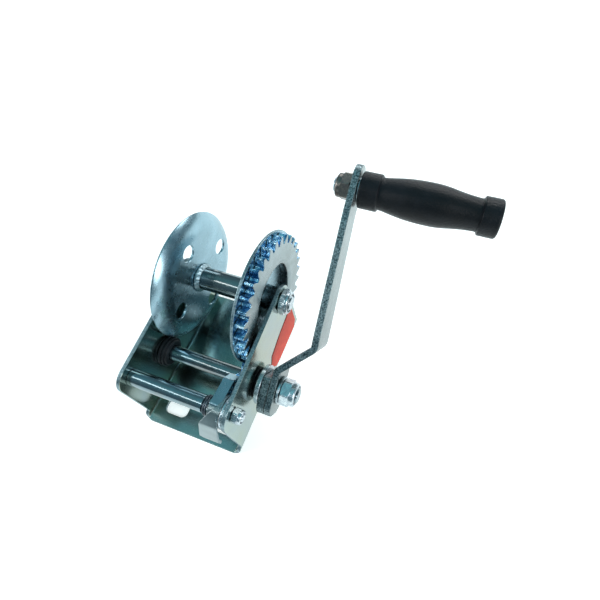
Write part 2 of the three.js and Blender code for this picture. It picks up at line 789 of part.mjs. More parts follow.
const pawlNut = lockNut(M6, PAWL_NUT.acrossFlats, NUT_SEAT, NUT_SEAT + PAWL_NUT.length);
const pawlWasher = ring(PAWL.cheekRadius, M6 + GAP, PAWL.right + GAP, INNER - GAP);
add(pawlGroup, "pawl_bolt", pawlBolt(), BOLT_ZINC());
add(pawlGroup, "pawl_nut", pawlNut, BOLT_ZINC());
add(pawlGroup, "pawl_spacer_tube", ring(6, M6 + GAP, -INNER + GAP, SPRING.start - GAP), ZINC());
add(pawlGroup, "pawl_washer", pawlWasher, BOLT_ZINC());

// Spring coiled round the bolt beside the pawl; one leg bears on the pawl and one points at the base.
class SpringCurve extends THREE.Curve {
  getPoint(t, target = new THREE.Vector3()) {
    const share = 0.12; // of the curve, for each leg
    const { start, end, wire, radius, turns, leg } = SPRING;
    const coil = THREE.MathUtils.clamp((t - share) / (1 - 2 * share), 0, 1);
    const angle = -Math.PI / 2 + coil * turns * 2 * Math.PI;
    const x = start + wire + coil * (end - start - 2 * wire);
    const outward = Math.max(0, share - t) - Math.max(0, t - 1 + share);
    const reach = (leg * outward) / share;
    const along = Math.abs(reach);
    const tangent = reach > 0 ? -1 : 1;
    const y = radius * Math.cos(angle) - tangent * along * Math.sin(angle);
    const z = radius * Math.sin(angle) + tangent * along * Math.cos(angle);
    return target.set(x, y, z);
  }
}

function pawlSpring() {
  const wire = new THREE.Shape();
  wire.absarc(0, 0, SPRING.wire, 0, 2 * Math.PI, false);
  const extrudePath = new SpringCurve();
  return new THREE.ExtrudeGeometry(wire, { steps: 42, curveSegments: 3, bevelEnabled: false, extrudePath });
}

add(pawlGroup, "pawl_spring", pawlSpring(), BARE_STEEL());

// ---------------------------------------------------------------- pawl

const pawlTurn = groupAt(winch, 0, PAWL_PIVOT.y, PAWL_PIVOT.z, PAWL.releasedBy);

// The nose, drawn where it sits when it is down in a gap between two pinion teeth.
function pawlNose() {
  const gap = pinionPhase() + CRANK_ANGLE + (5 * Math.PI) / PINION_TEETH;
  const out = new THREE.Vector2(Math.cos(gap), Math.sin(gap));
  const side = new THREE.Vector2(-out.y, out.x);
  const centre = new THREE.Vector2(pinionCentre.y - PAWL_PIVOT.y, pinionCentre.z - PAWL_PIVOT.z);
  const at = (radius, across) => {
    const point = centre.clone().addScaledVector(out, radius).addScaledVector(side, across);
    return [point.x, point.y];
  };
  return {
    tip: [at(15.2, 0.7), at(15.2, -0.8)],
    back: [at(20, -1.6), at(24.5, -2.4)],
    front: at(20.5, 2.2),
  };
}

function pawlBody() {
  const { tip, back, front } = pawlNose();
  const arm = roundedShape([
    [...tip[0], 0.3],
    [...tip[1], 0.3],
    back[0],
    [...back[1], 2],
    [3, 8],
    [-3, -3],
    [4, -7.2],
    front,
  ]);
  const web = alongX(arm, PAWL.left, PAWL.right - 2.6);
  const hub = rod(PAWL.hubRadius, PAWL.left, PAWL.right, 28);
  const cheek = rod(PAWL.cheekRadius, PAWL.right - PAWL.cheekSheet, PAWL.right, 32);
  return join(web, hub, cheek);
}

// Thumb tab: a sheet that curls over the hub from the cheek and down in front of it. Seen from the front
// it narrows to a thumb rest on the left and keeps a short leg beside the cheek.
function thumbTab() {
  const line = [[6, 10.3], [-4, 10.3], [-12.5, 2.5], [-17.5, -11.5], [-16.5, -19]];
  const curled = alongX(stripShape(line, PAWL.cheekSheet, 5), PAWL.left - 8, PAWL.right, 4);
  const plan = roundedShape([
    [PAWL.right, 7],
    [PAWL.right - 0.6, 6],
    [PAWL.right - 3.6, 0, 8],
    [PAWL.right - 8.4, -6, 20],
    [PAWL.right - 13.2, -12, 4],
    [PAWL.right - 15.1, -20],
    [PAWL.right, -20],
  ]);
  const front = roundedShape([
    [PAWL.right, 20],
    [PAWL.left - 8, 20],
    [PAWL.left - 8, -12],
    [PAWL.left - 2.5, -11.5, 1.5],
    [PAWL.left - 0.5, -13.5, 2],
    [PAWL.left + 6, -18.5, 1.5],
    [PAWL.right, -18.5, 1.5],
  ]);
  const tab = common(curled, alongZ(plan, -30, 30, 4), alongY(front, -30, 30, 4));
  return tab.rotateX(-PAWL.releasedBy);
}

function pawl() {
  const bore = rod(M6 + GAP, PAWL.left - 1, PAWL.right + 1);
  return cut(join(pawlBody(), thumbTab()), bore);
}

add(pawlTurn, "pawl", pawl(), GEAR_ZINC());

export default winch;
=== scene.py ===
"""Boat trailer winch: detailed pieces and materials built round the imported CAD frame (metres)."""

import json
import math

import bmesh
import bpy
from mathutils import Matrix, Vector


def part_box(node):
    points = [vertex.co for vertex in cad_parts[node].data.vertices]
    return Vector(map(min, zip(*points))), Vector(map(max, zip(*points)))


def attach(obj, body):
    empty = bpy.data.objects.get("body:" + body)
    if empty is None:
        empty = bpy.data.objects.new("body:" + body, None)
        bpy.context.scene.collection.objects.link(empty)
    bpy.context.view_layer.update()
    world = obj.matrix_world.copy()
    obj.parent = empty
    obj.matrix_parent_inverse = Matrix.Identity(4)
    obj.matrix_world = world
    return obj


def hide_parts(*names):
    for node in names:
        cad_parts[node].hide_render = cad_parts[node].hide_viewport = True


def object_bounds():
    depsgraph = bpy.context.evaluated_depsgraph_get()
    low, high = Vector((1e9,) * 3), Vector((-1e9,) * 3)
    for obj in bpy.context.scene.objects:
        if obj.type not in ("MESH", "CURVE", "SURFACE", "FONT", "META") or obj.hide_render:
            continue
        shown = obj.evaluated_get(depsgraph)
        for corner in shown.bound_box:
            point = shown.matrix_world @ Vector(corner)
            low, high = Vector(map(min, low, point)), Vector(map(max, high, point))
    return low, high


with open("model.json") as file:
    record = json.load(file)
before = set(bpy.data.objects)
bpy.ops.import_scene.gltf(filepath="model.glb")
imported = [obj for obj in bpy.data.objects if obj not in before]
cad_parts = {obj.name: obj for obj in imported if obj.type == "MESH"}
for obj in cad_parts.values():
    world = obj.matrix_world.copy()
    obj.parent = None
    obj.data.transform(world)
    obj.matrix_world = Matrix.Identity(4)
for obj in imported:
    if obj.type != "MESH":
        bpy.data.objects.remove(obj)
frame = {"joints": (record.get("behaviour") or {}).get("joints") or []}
cad_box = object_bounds()

MM = 0.001
TAU = 2 * math.pi
SHARP = math.radians(40)
joints = {joint["name"]: joint for joint in frame["joints"]}


# ---------------- places taken from the frame, in millimetres


def span(node):
    """The lowest and highest x of a CAD node, in millimetres."""
    low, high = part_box(node)
    return low.x / MM, high.x / MM


def axis_of(joint):
    """The y and z of a joint's axis, in millimetres."""
    return joints[joint]["pos_m"][1] / MM, joints[joint]["pos_m"][2] / MM


def height(node):
    low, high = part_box(node)
    return (high.z - low.z) / MM


AXLE = axis_of("drum_spin")
SHAFT = axis_of("crank_spin")
PAWL = axis_of("pawl_swing")
GRIP = axis_of("grip_spin")
CRANK_TURN = math.atan2(GRIP[1] - SHAFT[1], GRIP[0] - SHAFT[0])
REACH = math.hypot(GRIP[0] - SHAFT[0], GRIP[1] - SHAFT[1])


# ---------------- outlines and profiles


def rounded(corners, closed=True, step=math.radians(12)):
    """Points along corners (x, y, radius) with every corner turned into an arc."""
    points = []
    count = len(corners)
    for i, corner in enumerate(corners):
        x, y, radius = (*corner, 0)[:3]
        here = Vector((x, y))
        if radius <= 0 or (not closed and i in (0, count - 1)):
            points.append((x, y))
            continue
        before = (Vector(corners[i - 1][:2]) - here).normalized()
        after = (Vector(corners[(i + 1) % count][:2]) - here).normalized()
        half = math.acos(max(-1, min(1, before.dot(after)))) / 2
        centre = here + (before + after).normalized() * radius / math.sin(half)
        start = here + before * radius / math.tan(half) - centre
        end = here + after * radius / math.tan(half) - centre
        sweep = start.angle_signed(end, 0)
        steps = max(2, math.ceil(abs(sweep) / step))
        for k in range(steps + 1):
            arm = start.copy()
            arm.rotate(Matrix.Rotation(-sweep * k / steps, 2))
            points.append(tuple(centre + arm))
    return points


def circle(radius, centre=(0, 0), count=64):
    angles = [TAU * k / count for k in range(count)]
    return [(centre[0] + radius * math.cos(a), centre[1] + radius * math.sin(a)) for a in angles]


def smooth_curve(points, per_span=5):
    """A Catmull-Rom curve through the points."""
    points = [Vector(p) for p in points]
    padded = [points[0] * 2 - points[1], *points, points[-1] * 2 - points[-2]]
    out = []
    for a, b, c, d in zip(padded, padded[1:], padded[2:], padded[3:]):
        for k in range(per_span):
            t = k / per_span
            square = (2 * a - 5 * b + 4 * c - d) * t**2
            cube = (3 * b - a - 3 * c + d) * t**3
            out.append(0.5 * (2 * b + (c - a) * t + square + cube))
    return [tuple(p) for p in out] + [tuple(points[-1])]


# ---------------- meshes, in millimetres


def lathe(profile, segments=96, ripple=None):
    """A solid turned about X from a closed profile of (x, radius); radius 0 closes it on the axis."""
    bm = bmesh.new()
    rings = []
    for i, (x, radius) in enumerate(profile):
        if radius <= 0:
            rings.append([bm.verts.new((x, 0, 0))])
            continue
        ring = []
        for k in range(segments):
            angle = TAU * k / segments
            grown = radius + (ripple(i, angle) if ripple else 0)
            ring.append(bm.verts.new((x, grown * math.cos(angle), grown * math.sin(angle))))
        rings.append(ring)
    pairs = list(zip(rings, rings[1:]))
    if len(rings[0]) > 1:
        pairs.append((rings[-1], rings[0]))
    for first, second in pairs:
        for k in range(segments):
            n = (k + 1) % segments
            if len(first) == 1 and len(second) == 1:
                continue
            if len(first) == 1:
                bm.faces.new((first[0], second[k], second[n]))
            elif len(second) == 1:
                bm.faces.new((first[k], second[0], first[n]))
            else:
                bm.faces.new((first[k], second[k], second[n], first[n]))
    bmesh.ops.recalc_face_normals(bm, faces=bm.faces)
    return bm


def turned_ring(outer, inner, x0, x1, edge=0.3, segments=96):
    """A washer or tube with rounded rims."""
    corners = [(x0, inner, edge), (x0, outer, edge), (x1, outer, edge), (x1, inner, edge)]
    return lathe(rounded(corners, step=math.radians(30)), segments)


def plate(outline, holes, thickness, edge=0.25):
    """A flat plate in local (x, y), z from 0 to thickness, with bevelled rims and holes."""
    curve = bpy.data.curves.new("outline", "CURVE")
    curve.dimensions = "2D"
    curve.fill_mode = "BOTH"
    curve.extrude = thickness / 2 - edge
    curve.bevel_depth = edge
    curve.bevel_resolution = 2
    curve.offset = -edge
    for loop in [outline, *holes]:
        spline = curve.splines.new("POLY")
        spline.points.add(len(loop) - 1)
        for point, (x, y) in zip(spline.points, loop):
            point.co = (x, y, 0, 1)
        spline.use_cyclic_u = True
    holder = bpy.data.objects.new("outline", curve)
    mesh = bpy.data.meshes.new_from_object(holder)
    bpy.data.objects.remove(holder)
    bpy.data.curves.remove(curve)
    bm = bmesh.new()
    bm.from_mesh(mesh)
    bpy.data.meshes.remove(mesh)
    bmesh.ops.translate(bm, verts=bm.verts, vec=(0, 0, thickness / 2))
    bmesh.ops.remove_doubles(bm, verts=bm.verts, dist=1e-3)
    bmesh.ops.dissolve_degenerate(bm, edges=bm.edges, dist=1e-4)
    bmesh.ops.recalc_face_normals(bm, faces=bm.faces)
    for face in bm.faces:
        face.material_index = 1 if abs(face.normal.z) < 0.5 else 0
    return bm


def mark_rim(bm, radius):
    """Gives the faces of a turned disc beyond a radius the second material, the painted shade of the rim.
    """
    for face in bm.faces:
        middle = face.calc_center_median()
        if math.hypot(middle.y, middle.z) > radius:
            face.material_index = 1
    return bm


def place_along_x(bm, x0):
    """Turns a plate's local x, y, z into y, z and x, and puts its low face at x0."""
    turn = Matrix(((0, 0, 1), (1, 0, 0), (0, 1, 0))).to_4x4()
    bmesh.ops.transform(bm, matrix=Matrix.Translation((x0, 0, 0)) @ turn, verts=bm.verts)
    return bm


def merge(*parts):
    """Joins meshes that are parts of one piece."""
    whole = bmesh.new()
    for part in parts:
        mesh = bpy.data.meshes.new("part")
        part.to_mesh(mesh)
        whole.from_mesh(mesh)
        bpy.data.meshes.remove(mesh)
        part.free()
    return whole


def rounded_hexagon(across_flats, blunting=0.18):
    """The radius of a hexagon with slightly blunted corners, as a function of angle."""
    flat = across_flats / 2
    limit = flat / math.cos(math.pi / 6) - blunting

    def radius(angle):
        local = (angle + math.pi / 6) % (math.pi / 3) - math.pi / 6
        return min(flat / math.cos(local), limit)

    return radius


def hexagonal(across_flats, x0, x1, chamfer_low=True, chamfer_high=True, bore=0.0):
    """A hexagonal nut body or bolt head along X, its corners chamfered in curves by turning."""
    segments = 96
    flat = across_flats / 2
    hexagon = rounded_hexagon(across_flats)
    slope = math.tan(math.radians(30))
    face_radius = flat * 0.97
    bm = bmesh.new()

    def ring(x_of, r_of):
        verts = []
        for k in range(segments):
            angle = TAU * (k + 0.5) / segments
            radius = r_of(angle)
            verts.append(bm.verts.new((x_of(radius), radius * math.cos(angle), radius * math.sin(angle))))
        return verts

    low = (lambda r: x0 + max(0, r - face_radius) * slope) if chamfer_low else (lambda r: x0)
    high = (lambda r: x1 - max(0, r - face_radius) * slope) if chamfer_high else (lambda r: x1)
    rings = [
        ring(low, lambda a: face_radius),
        ring(low, hexagon),
        ring(high, hexagon),
        ring(high, lambda a: face_radius),
    ]
    if bore:
        rings.append(ring(lambda r: x1, lambda a: bore + 0.6))
        rings.append(ring(lambda r: x1 - 0.6, lambda a: bore))
        rings.append(ring(lambda r: x0 + 0.6, lambda a: bore))
        rings.append(ring(lambda r: x0, lambda a: bore + 0.6))
        rings.append(rings[0])
    for first, second in zip(rings, rings[1:]):
        for k in range(segments):
            n = (k + 1) % segments
            bm.faces.new((first[k], first[n], second[n], second[k]))
    if not bore:
        bm.faces.new(rings[0][::-1])
        bm.faces.new(rings[-1])
    bmesh.ops.recalc_face_normals(bm, faces=bm.faces)
    return bm


def threaded_end(radius, x0, x1, pitch, segments=64):
    """A threaded stretch of rod from x0 to its chamfered free end at x1 (x1 may be the lower one)."""
    depth = 0.58 * pitch
    direction = 1 if x1 > x0 else -1
    length = abs(x1 - x0)
    rows = math.ceil(length / pitch * 10)
    bm = bmesh.new()
    rings = []
    for i in range(rows + 1):
        along = length * i / rows
        end_limit = radius - max(0, depth + 0.3 - (length - along)) * 0.9
        ring = []
        for k in range(segments):
            angle = TAU * k / segments
            phase = (along / pitch + direction * k / segments) % 1
            tooth = min(1, max(0, abs(phase - 0.5) * 2.6 - 0.15))
            r = min(radius - depth * tooth, end_limit)
            ring.append(bm.verts.new((x0 + direction * along, r * math.cos(angle), r * math.sin(angle))))
        rings.append(ring)
    for first, second in zip(rings, rings[1:]):
        for k in range(segments):
            n = (k + 1) % segments
            bm.faces.new((first[k], first[n], second[n], second[k]))
    bm.faces.new(rings[0])
    bm.faces.new(rings[-1])
    bmesh.ops.recalc_face_normals(bm, faces=bm.faces)
    return bm


def round_bar(radius, x0, x1, edge=0.4, segments=64):
    corners = [(x0, 0), (x0, radius, edge), (x1, radius, edge), (x1, 0)]
    return lathe(rounded(corners, closed=False, step=math.radians(30)), segments)


class Fold:
    """A sheet's side view: a centre line bent with a radius, laid out flat as distance u."""

    def __init__(self, points, radius):
        self.steps = []
        points = [Vector(p) for p in points]
        directions = [(b - a).normalized() for a, b in zip(points, points[1:])]
        angles = [a.angle_signed(b) * -1 for a, b in zip(directions, directions[1:])]
        trims = [0, *(radius * math.tan(abs(a) / 2) for a in angles), 0]
        u = 0.0
        for i, direction in enumerate(directions):
            length = (points[i + 1] - points[i]).length - trims[i] - trims[i + 1]
            start = points[i] + direction * trims[i]
            self.steps.append((u, u + length, start, direction, 0.0))
            u += length
            if i < len(angles):
                arc = radius * abs(angles[i])
                self.steps.append((u, u + arc, start + direction * length, direction, angles[i] / arc))
                u += arc
        self.length = u

    def at(self, u, offset=0.0):
        """The point at distance u, offset to the left of the centre line."""
        u0, _, start, direction, bend = next((s for s in self.steps if u <= s[1]), self.steps[-1])
        along = u - u0
        left = Vector((-direction.y, direction.x))
        if not bend:
            return start + direction * along + left * offset
        centre = start + left / bend
        outward = -left
        outward.rotate(Matrix.Rotation(bend * along, 2))
        return centre + outward * (1 / bend - offset)

    def flat(self, value, axis, low=0.0, high=None):
        """The distance u at which the centre line's coordinate reaches a value."""
        high = self.length if high is None else high
        rising = self.at(high)[axis] > self.at(low)[axis]
        for _ in range(50):
            middle = (low + high) / 2
            if (self.at(middle)[axis] < value) == rising:
                low = middle
            else:
                high = middle
        return (low + high) / 2

    def bend(self, bm, thickness, step=math.radians(7.5)):
        """Folds a flat plate whose local x is u, so that x, y is the side view and z the width."""
        for u0, u1, _, _, bend in self.steps:
            if not bend:
                continue
            count = math.ceil(abs(bend) * (u1 - u0) / step)
            for k in range(count + 1):
                cut = u0 + (u1 - u0) * k / count
                bmesh.ops.bisect_plane(
                    bm,
                    geom=[*bm.verts, *bm.edges, *bm.faces],
                    plane_co=(cut, 0, 0),
                    plane_no=(1, 0, 0),
                    dist=1e-4,
                )
        for vert in bm.verts:
            u, width, level = vert.co
            point = self.at(u, level - thickness / 2)
            vert.co = (point.x, point.y, width)
        bmesh.ops.dissolve_degenerate(bm, edges=bm.edges, dist=1e-3)
        bmesh.ops.recalc_face_normals(bm, faces=bm.faces)
        return bm


# ---------------- making pieces


def piece(name, bm, body, nodes, materials, axis=(0.0, 0.0), turn=0.0):
    """Turns a mesh in millimetres into a finished object that stands for CAD nodes."""
    mesh = bpy.data.meshes.new(name)
    place = Matrix.Translation((0, axis[0] * MM, axis[1] * MM))
    placing = place @ Matrix.Rotation(turn, 4, "X") @ Matrix.Scale(MM, 4)
    bmesh.ops.transform(bm, matrix=placing, verts=bm.verts)
    bm.to_mesh(mesh)
    bm.free()
    for material in materials if isinstance(materials, (list, tuple)) else [materials]:
        mesh.materials.append(material)
    mesh.shade_smooth()
    mesh.set_sharp_from_angle(angle=SHARP)
    obj = bpy.data.objects.new(name, mesh)
    bpy.context.scene.collection.objects.link(obj)
    weighted = obj.modifiers.new("weighted", "WEIGHTED_NORMAL")
    weighted.keep_sharp = True
    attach(obj, body)
    if nodes:
        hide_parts(*nodes)
    return obj


# ---------------- materials


class Nodes:
    """A short way to write a material's node tree."""

    def __init__(self, name):
        self.material = bpy.data.materials.new(name)
        self.material.use_nodes = True
        self.tree = self.material.node_tree
        self.shader = self.tree.nodes["Principled BSDF"]
        coordinates = self.tree.nodes.new("ShaderNodeTexCoord")
        self.place = coordinates.outputs["Object"]

    def add(self, kind, inputs=None, **settings):
        node = self.tree.nodes.new(kind)
        for key, value in settings.items():
            setattr(node, key, value)
        for key, value in (inputs or {}).items():
            if isinstance(value, bpy.types.NodeSocket):
                self.tree.links.new(value, node.inputs[key])
            else:
                node.inputs[key].default_value = value
        return node

    def stretched(self, scale):
        return self.add("ShaderNodeMapping", {"Vector": self.place, "Scale": scale}).outputs["Vector"]

    def noise(self, scale, detail=3.0, roughness=0.55, vector=None, distortion=0.0):
        values = {
            "Vector": vector or self.place,
            "Scale": scale,
            "Detail": detail,
            "Roughness": roughness,
            "Distortion": distortion,
        }
        return self.add("ShaderNodeTexNoise", values).outputs["Fac"]

    def ramp(self, fac, *stops):
        node = self.add("ShaderNodeValToRGB", {"Fac": fac})
        elements = node.color_ramp.elements
        for element, (position, color) in zip(elements, stops):
            element.position = position
            element.color = color
        for position, color in stops[2:]:
            elements.new(position).color = color
        return node.outputs["Color"]

    def blend(self, fac, first, second, mode="MIX"):
        node = self.add("ShaderNodeMix", data_type="RGBA", blend_type=mode)
        factor, color_a, color_b = node.inputs[0], node.inputs[6], node.inputs[7]
        for socket, value in ((factor, fac), (color_a, first), (color_b, second)):
            if isinstance(value, bpy.types.NodeSocket):
                self.tree.links.new(value, socket)
            else:
                socket.default_value = value
        return node.outputs[2]

    def bump(self, height, strength, distance, normal=None):
        values = {"Height": height, "Strength": strength, "Distance": distance}
        if normal:
            values["Normal"] = normal
        return self.add("ShaderNodeBump", values).outputs["Normal"]

    def remap(self, value, low, high, start=0.3, end=0.7):
        values = {"Value": value, "From Min": start, "From Max": end, "To Min": low, "To Max": high}
        return self.add("ShaderNodeMapRange", values).outputs["Result"]

    def finish(self, **sockets):
        for key, value in sockets.items():
            socket = self.shader.inputs[key.replace("_", " ")]
            if isinstance(value, bpy.types.NodeSocket):
                self.tree.links.new(value, socket)
            else:
                socket.default_value = value
        return self.material


def grey(value):
    return (value, value, value, 1)


def zinc_plate(name, base, tint, rough, grain=(1, 1, 1), grain_strength=0.12, mottle=0.82):
    """Bright zinc plate: patchy blue and straw tints, rolling grain, faint waviness and small scuffs."""
    n = Nodes(name)
    patches = n.noise(22, 4, 0.6, distortion=0.4)
    film = n.blend(n.remap(patches, 0, 1, 0.35, 0.65), base, tint)
    clouds = n.noise(90, 5, 0.65)
    color = n.blend(1.0, film, n.ramp(clouds, (0.3, grey(mottle)), (0.7, grey(1.0))), "MULTIPLY")
    scuffs = n.noise(55, 5, 0.7, n.stretched((1, 2, 2)))
    rough_low = n.remap(clouds, rough * 0.85, rough * 1.2)
    scuffed = n.remap(scuffs, 0, 0.05, 0.5, 0.75)
    roughness = n.add("ShaderNodeMath", {0: rough_low, 1: scuffed}, operation="ADD")
    waves = n.bump(n.noise(20, 1, 0.4), 0.05, 0.0006)
    rolled = n.bump(n.noise(900, 4, 0.6, n.stretched(grain)), grain_strength, 0.00006, waves)
    return n.finish(Base_Color=color, Metallic=1.0, Roughness=roughness.outputs[0], Normal=rolled)


def sheared_edge(name, base, torn, metallic=1.0, rough=0.3):
    """The cut edge of a plate: burnished metal with torn grain under thin plating, bright where the base
    is pale; a dark base paints shade on the edge instead.
    """
    n = Nodes(name)
    grain = n.noise(900, 5, 0.75)
    coarse = n.noise(160, 4, 0.6)
    color = n.blend(n.remap(grain, 0, 1, 0.4, 0.6), base, torn)
    roughness = n.remap(coarse, rough, rough * 1.6)
    normal = n.bump(grain, 0.45, 0.00012)
    return n.finish(Base_Color=color, Metallic=metallic, Roughness=roughness, Normal=normal)


def tooth_flank():
    """Stamped and plated tooth flanks: uneven facets with a strong blue film, painted highlights on the
    pale facets and painted shade on the dark ones.
    """
    n = Nodes("tooth_flank")
    facets_and_glints = n.noise(260, 3, 0.55, distortion=0.6)
    fine = n.noise(1200, 4, 0.6)
    # The ramp paints shade (dark blue) and highlights (pale blue) on the facets, over the blue film (mid
    # blue).
    color = n.ramp(facets_and_glints, (0.36, PAINTED_SHADE_BLUE), (0.62, PAINTED_HIGHLIGHT_BLUE), (0.5, MID_BLUE))
    normal = n.bump(fine, 0.2, 0.0001, n.bump(facets_and_glints, 0.8, 0.0011))
    return n.finish(Base_Color=color, Metallic=1.0, Roughness=n.remap(fine, 0.12, 0.24), Normal=normal)


def turned_steel(name, base, rough=0.24):
    """Turned and plated fastener steel with fine tool rings and specks."""
    n = Nodes(name)
    rings = n.noise(1400, 3, 0.5, n.stretched((1, 0.15, 0.15)))
    specks = n.noise(420, 5, 0.7)
    dull = (base[0] * 0.62, base[1] * 0.66, base[2] * 0.72, 1)
    color = n.blend(n.remap(specks, 0, 1, 0.4, 0.62), base, dull)
    roughness = n.remap(specks, rough * 0.8, rough * 1.5)
    normal = n.bump(rings, 0.18, 0.00005, n.bump(n.noise(60, 3), 0.15, 0.0005))
    return n.finish(Base_Color=color, Metallic=1.0, Roughness=roughness, Normal=normal)


def weld_metal():
    n = Nodes("weld_metal")
    beads = n.noise(380, 5, 0.65)
    color = n.blend(n.remap(beads, 0, 1), (0.5, 0.62, 0.66, 1), (0.16, 0.24, 0.28, 1))
    normal = n.bump(beads, 0.6, 0.0003)
    return n.finish(Base_Color=color, Metallic=1.0, Roughness=n.remap(beads, 0.22, 0.42), Normal=normal)


def moulded(name, base, sheen, grain_scale, grain_depth, rough):
    """Moulded plastic with a fine spark-eroded grain, handling marks in the roughness and lighter patches
    of painted sheen in the colour.
    """
    n = Nodes(name)
    cells = n.add("ShaderNodeTexVoronoi", {"Vector": n.place, "Scale": grain_scale}).outputs["Distance"]
    fine = n.noise(grain_scale * 1.7, 4, 0.7)
    wear_and_sheen = n.noise(45, 4, 0.6, distortion=0.3)
    # The lighter sheen colour in the noise patches is a painted sheen; the same noise varies the
    # roughness as handling marks.
    color = n.blend(n.remap(wear_and_sheen, 0, 1, 0.35, 0.7), base, sheen)
    normal = n.bump(cells, 0.35, grain_depth, n.bump(fine, 0.35, grain_depth))
    roughness = n.remap(wear_and_sheen, rough * 0.85, rough * 1.15)
    return n.finish(Base_Color=color, Roughness=roughness, Specular_IOR_Level=0.2, Normal=normal)


def label_film():
    """Plain printed film: even red with faint print mottling, no lettering."""
    n = Nodes("red_label")
    mottle = n.noise(260, 5, 0.6)
    color = n.blend(n.remap(mottle, 0, 1), (0.6, 0.04, 0.025, 1), (0.72, 0.1, 0.06, 1))
    normal = n.bump(n.noise(50, 3), 0.2, 0.0004)
    roughness = n.remap(mottle, 0.55, 0.7)
    return n.finish(Base_Color=color, Roughness=roughness, Specular_IOR_Level=0.3, Normal=normal)


def studio_floor():
    """A pale light table: diffuse white with a little light of its own, so shadows stay soft."""
    n = Nodes("studio_floor")
    tone = n.ramp(n.noise(3, 2, 0.5), (0.3, grey(0.86)), (0.7, grey(0.9)))
    glow = (0.97, 1.0, 0.97, 1)
    return n.finish(Base_Color=tone, Roughness=0.7, Emission_Color=glow, Emission_Strength=0.55)


TEAL_ZINC = (0.32, 0.41, 0.42, 1)
STRAW_ZINC = (0.37, 0.44, 0.36, 1)
DEEP_ZINC = (0.24, 0.36, 0.41, 1)
BLUE_ZINC = (0.36, 0.52, 0.60, 1)
GREY_ZINC = (0.27, 0.32, 0.32, 1)
DULL_ZINC = (0.17, 0.21, 0.21, 1)
PALE_ZINC = (0.40, 0.46, 0.48, 1)
BRONZE_ZINC = (0.25, 0.27, 0.27, 1)
# Tooth flank blues: painted shade, the film's own blue and painted highlight.
PAINTED_SHADE_BLUE = (0.05, 0.16, 0.33, 1)
MID_BLUE = (0.2, 0.42, 0.62, 1)
PAINTED_HIGHLIGHT_BLUE = (0.62, 0.8, 0.92, 1)
# Plastics as (base colour, painted sheen colour) pairs.
BLACK_NYLON = (0.008, 0.009, 0.011, 1), (0.016, 0.018, 0.022, 1)
BLACK_GRIP = (0.001, 0.0014, 0.002, 1), (0.004, 0.006, 0.009, 1)
PALE_NYLON = (0.3, 0.31, 0.33, 1), (0.42, 0.43, 0.45, 1)
M = {
    "sheet": zinc_plate("zinc_sheet", TEAL_ZINC, STRAW_ZINC, 0.17, (1, 0.1, 1), 0.02, 0.9),
    "flange": zinc_plate("zinc_flange", DEEP_ZINC, BLUE_ZINC, 0.26, (1, 1, 1), 0.15, 0.92),
    "gear": zinc_plate("zinc_gear", GREY_ZINC, PALE_ZINC, 0.27, (1, 1, 1), 0.25),
    "arm": zinc_plate("zinc_arm", DULL_ZINC, GREY_ZINC, 0.26, (1, 0.15, 1), 0.3),
    "tube": zinc_plate("zinc_tube", DEEP_ZINC, BRONZE_ZINC, 0.14, (0.06, 1, 1), 0.2),
    "pawl": zinc_plate("zinc_pawl", GREY_ZINC, PALE_ZINC, 0.32, (1, 1, 1), 0.2),
    "edge": sheared_edge("sheared_edge", (0.3, 0.39, 0.42, 1), (0.1, 0.15, 0.17, 1), 0.85, 0.26),
    # Near-black base: painted shade on the crank arm's edges; the lighter torn grain is the edge's own.
    "painted_shade_edge": sheared_edge("sheared_edge_painted_shade", (0.03, 0.045, 0.05, 1), (0.3, 0.38, 0.4, 1)),
    # Dark base: painted shade on the flange rims, a dark outline, with lighter torn grain.
    "rim": sheared_edge("flange_rim_painted_shade", (0.1, 0.15, 0.17, 1), (0.3, 0.4, 0.44, 1)),
    "tooth": tooth_flank(),
    "bolt": turned_steel("bolt_zinc", (0.62, 0.68, 0.7, 1)),
    "dark_steel": turned_steel("dark_steel", (0.2, 0.18, 0.16, 1), 0.3),
    "spring": turned_steel("spring_wire", (0.13, 0.15, 0.17, 1), 0.3),
    "weld": weld_metal(),
    "bush": moulded("bush_nylon", *BLACK_NYLON, 900, 0.00004, 0.4),
    "grip": moulded("grip_plastic", *BLACK_GRIP, 1000, 0.0005, 0.36),
    "nylon": moulded("nylon_insert", *PALE_NYLON, 900, 0.00003, 0.5),
    "label": label_film(),
}


# ---------------- bracket

SHEET = 3.0
HALF_WIDTH = 42.0
BASE_FRONT = -4.7
BASE_BACK = 113.5
PLATE_FRONT = 1.0
END_RADIUS = 12.0
PAWL_BORE = 3.3
AXLE_BORE = 6.3
BUSH_BORE = 9.4
BEND_RADIUS = 3.5
SLOT_CENTRE = (20.5, 10.5)
SLOT_HALF = (9.5, 5.5)
SLOT_CORNER = 4.5
REAR_HOLE_Y = 92
REAR_HOLE_RADIUS = 5.5


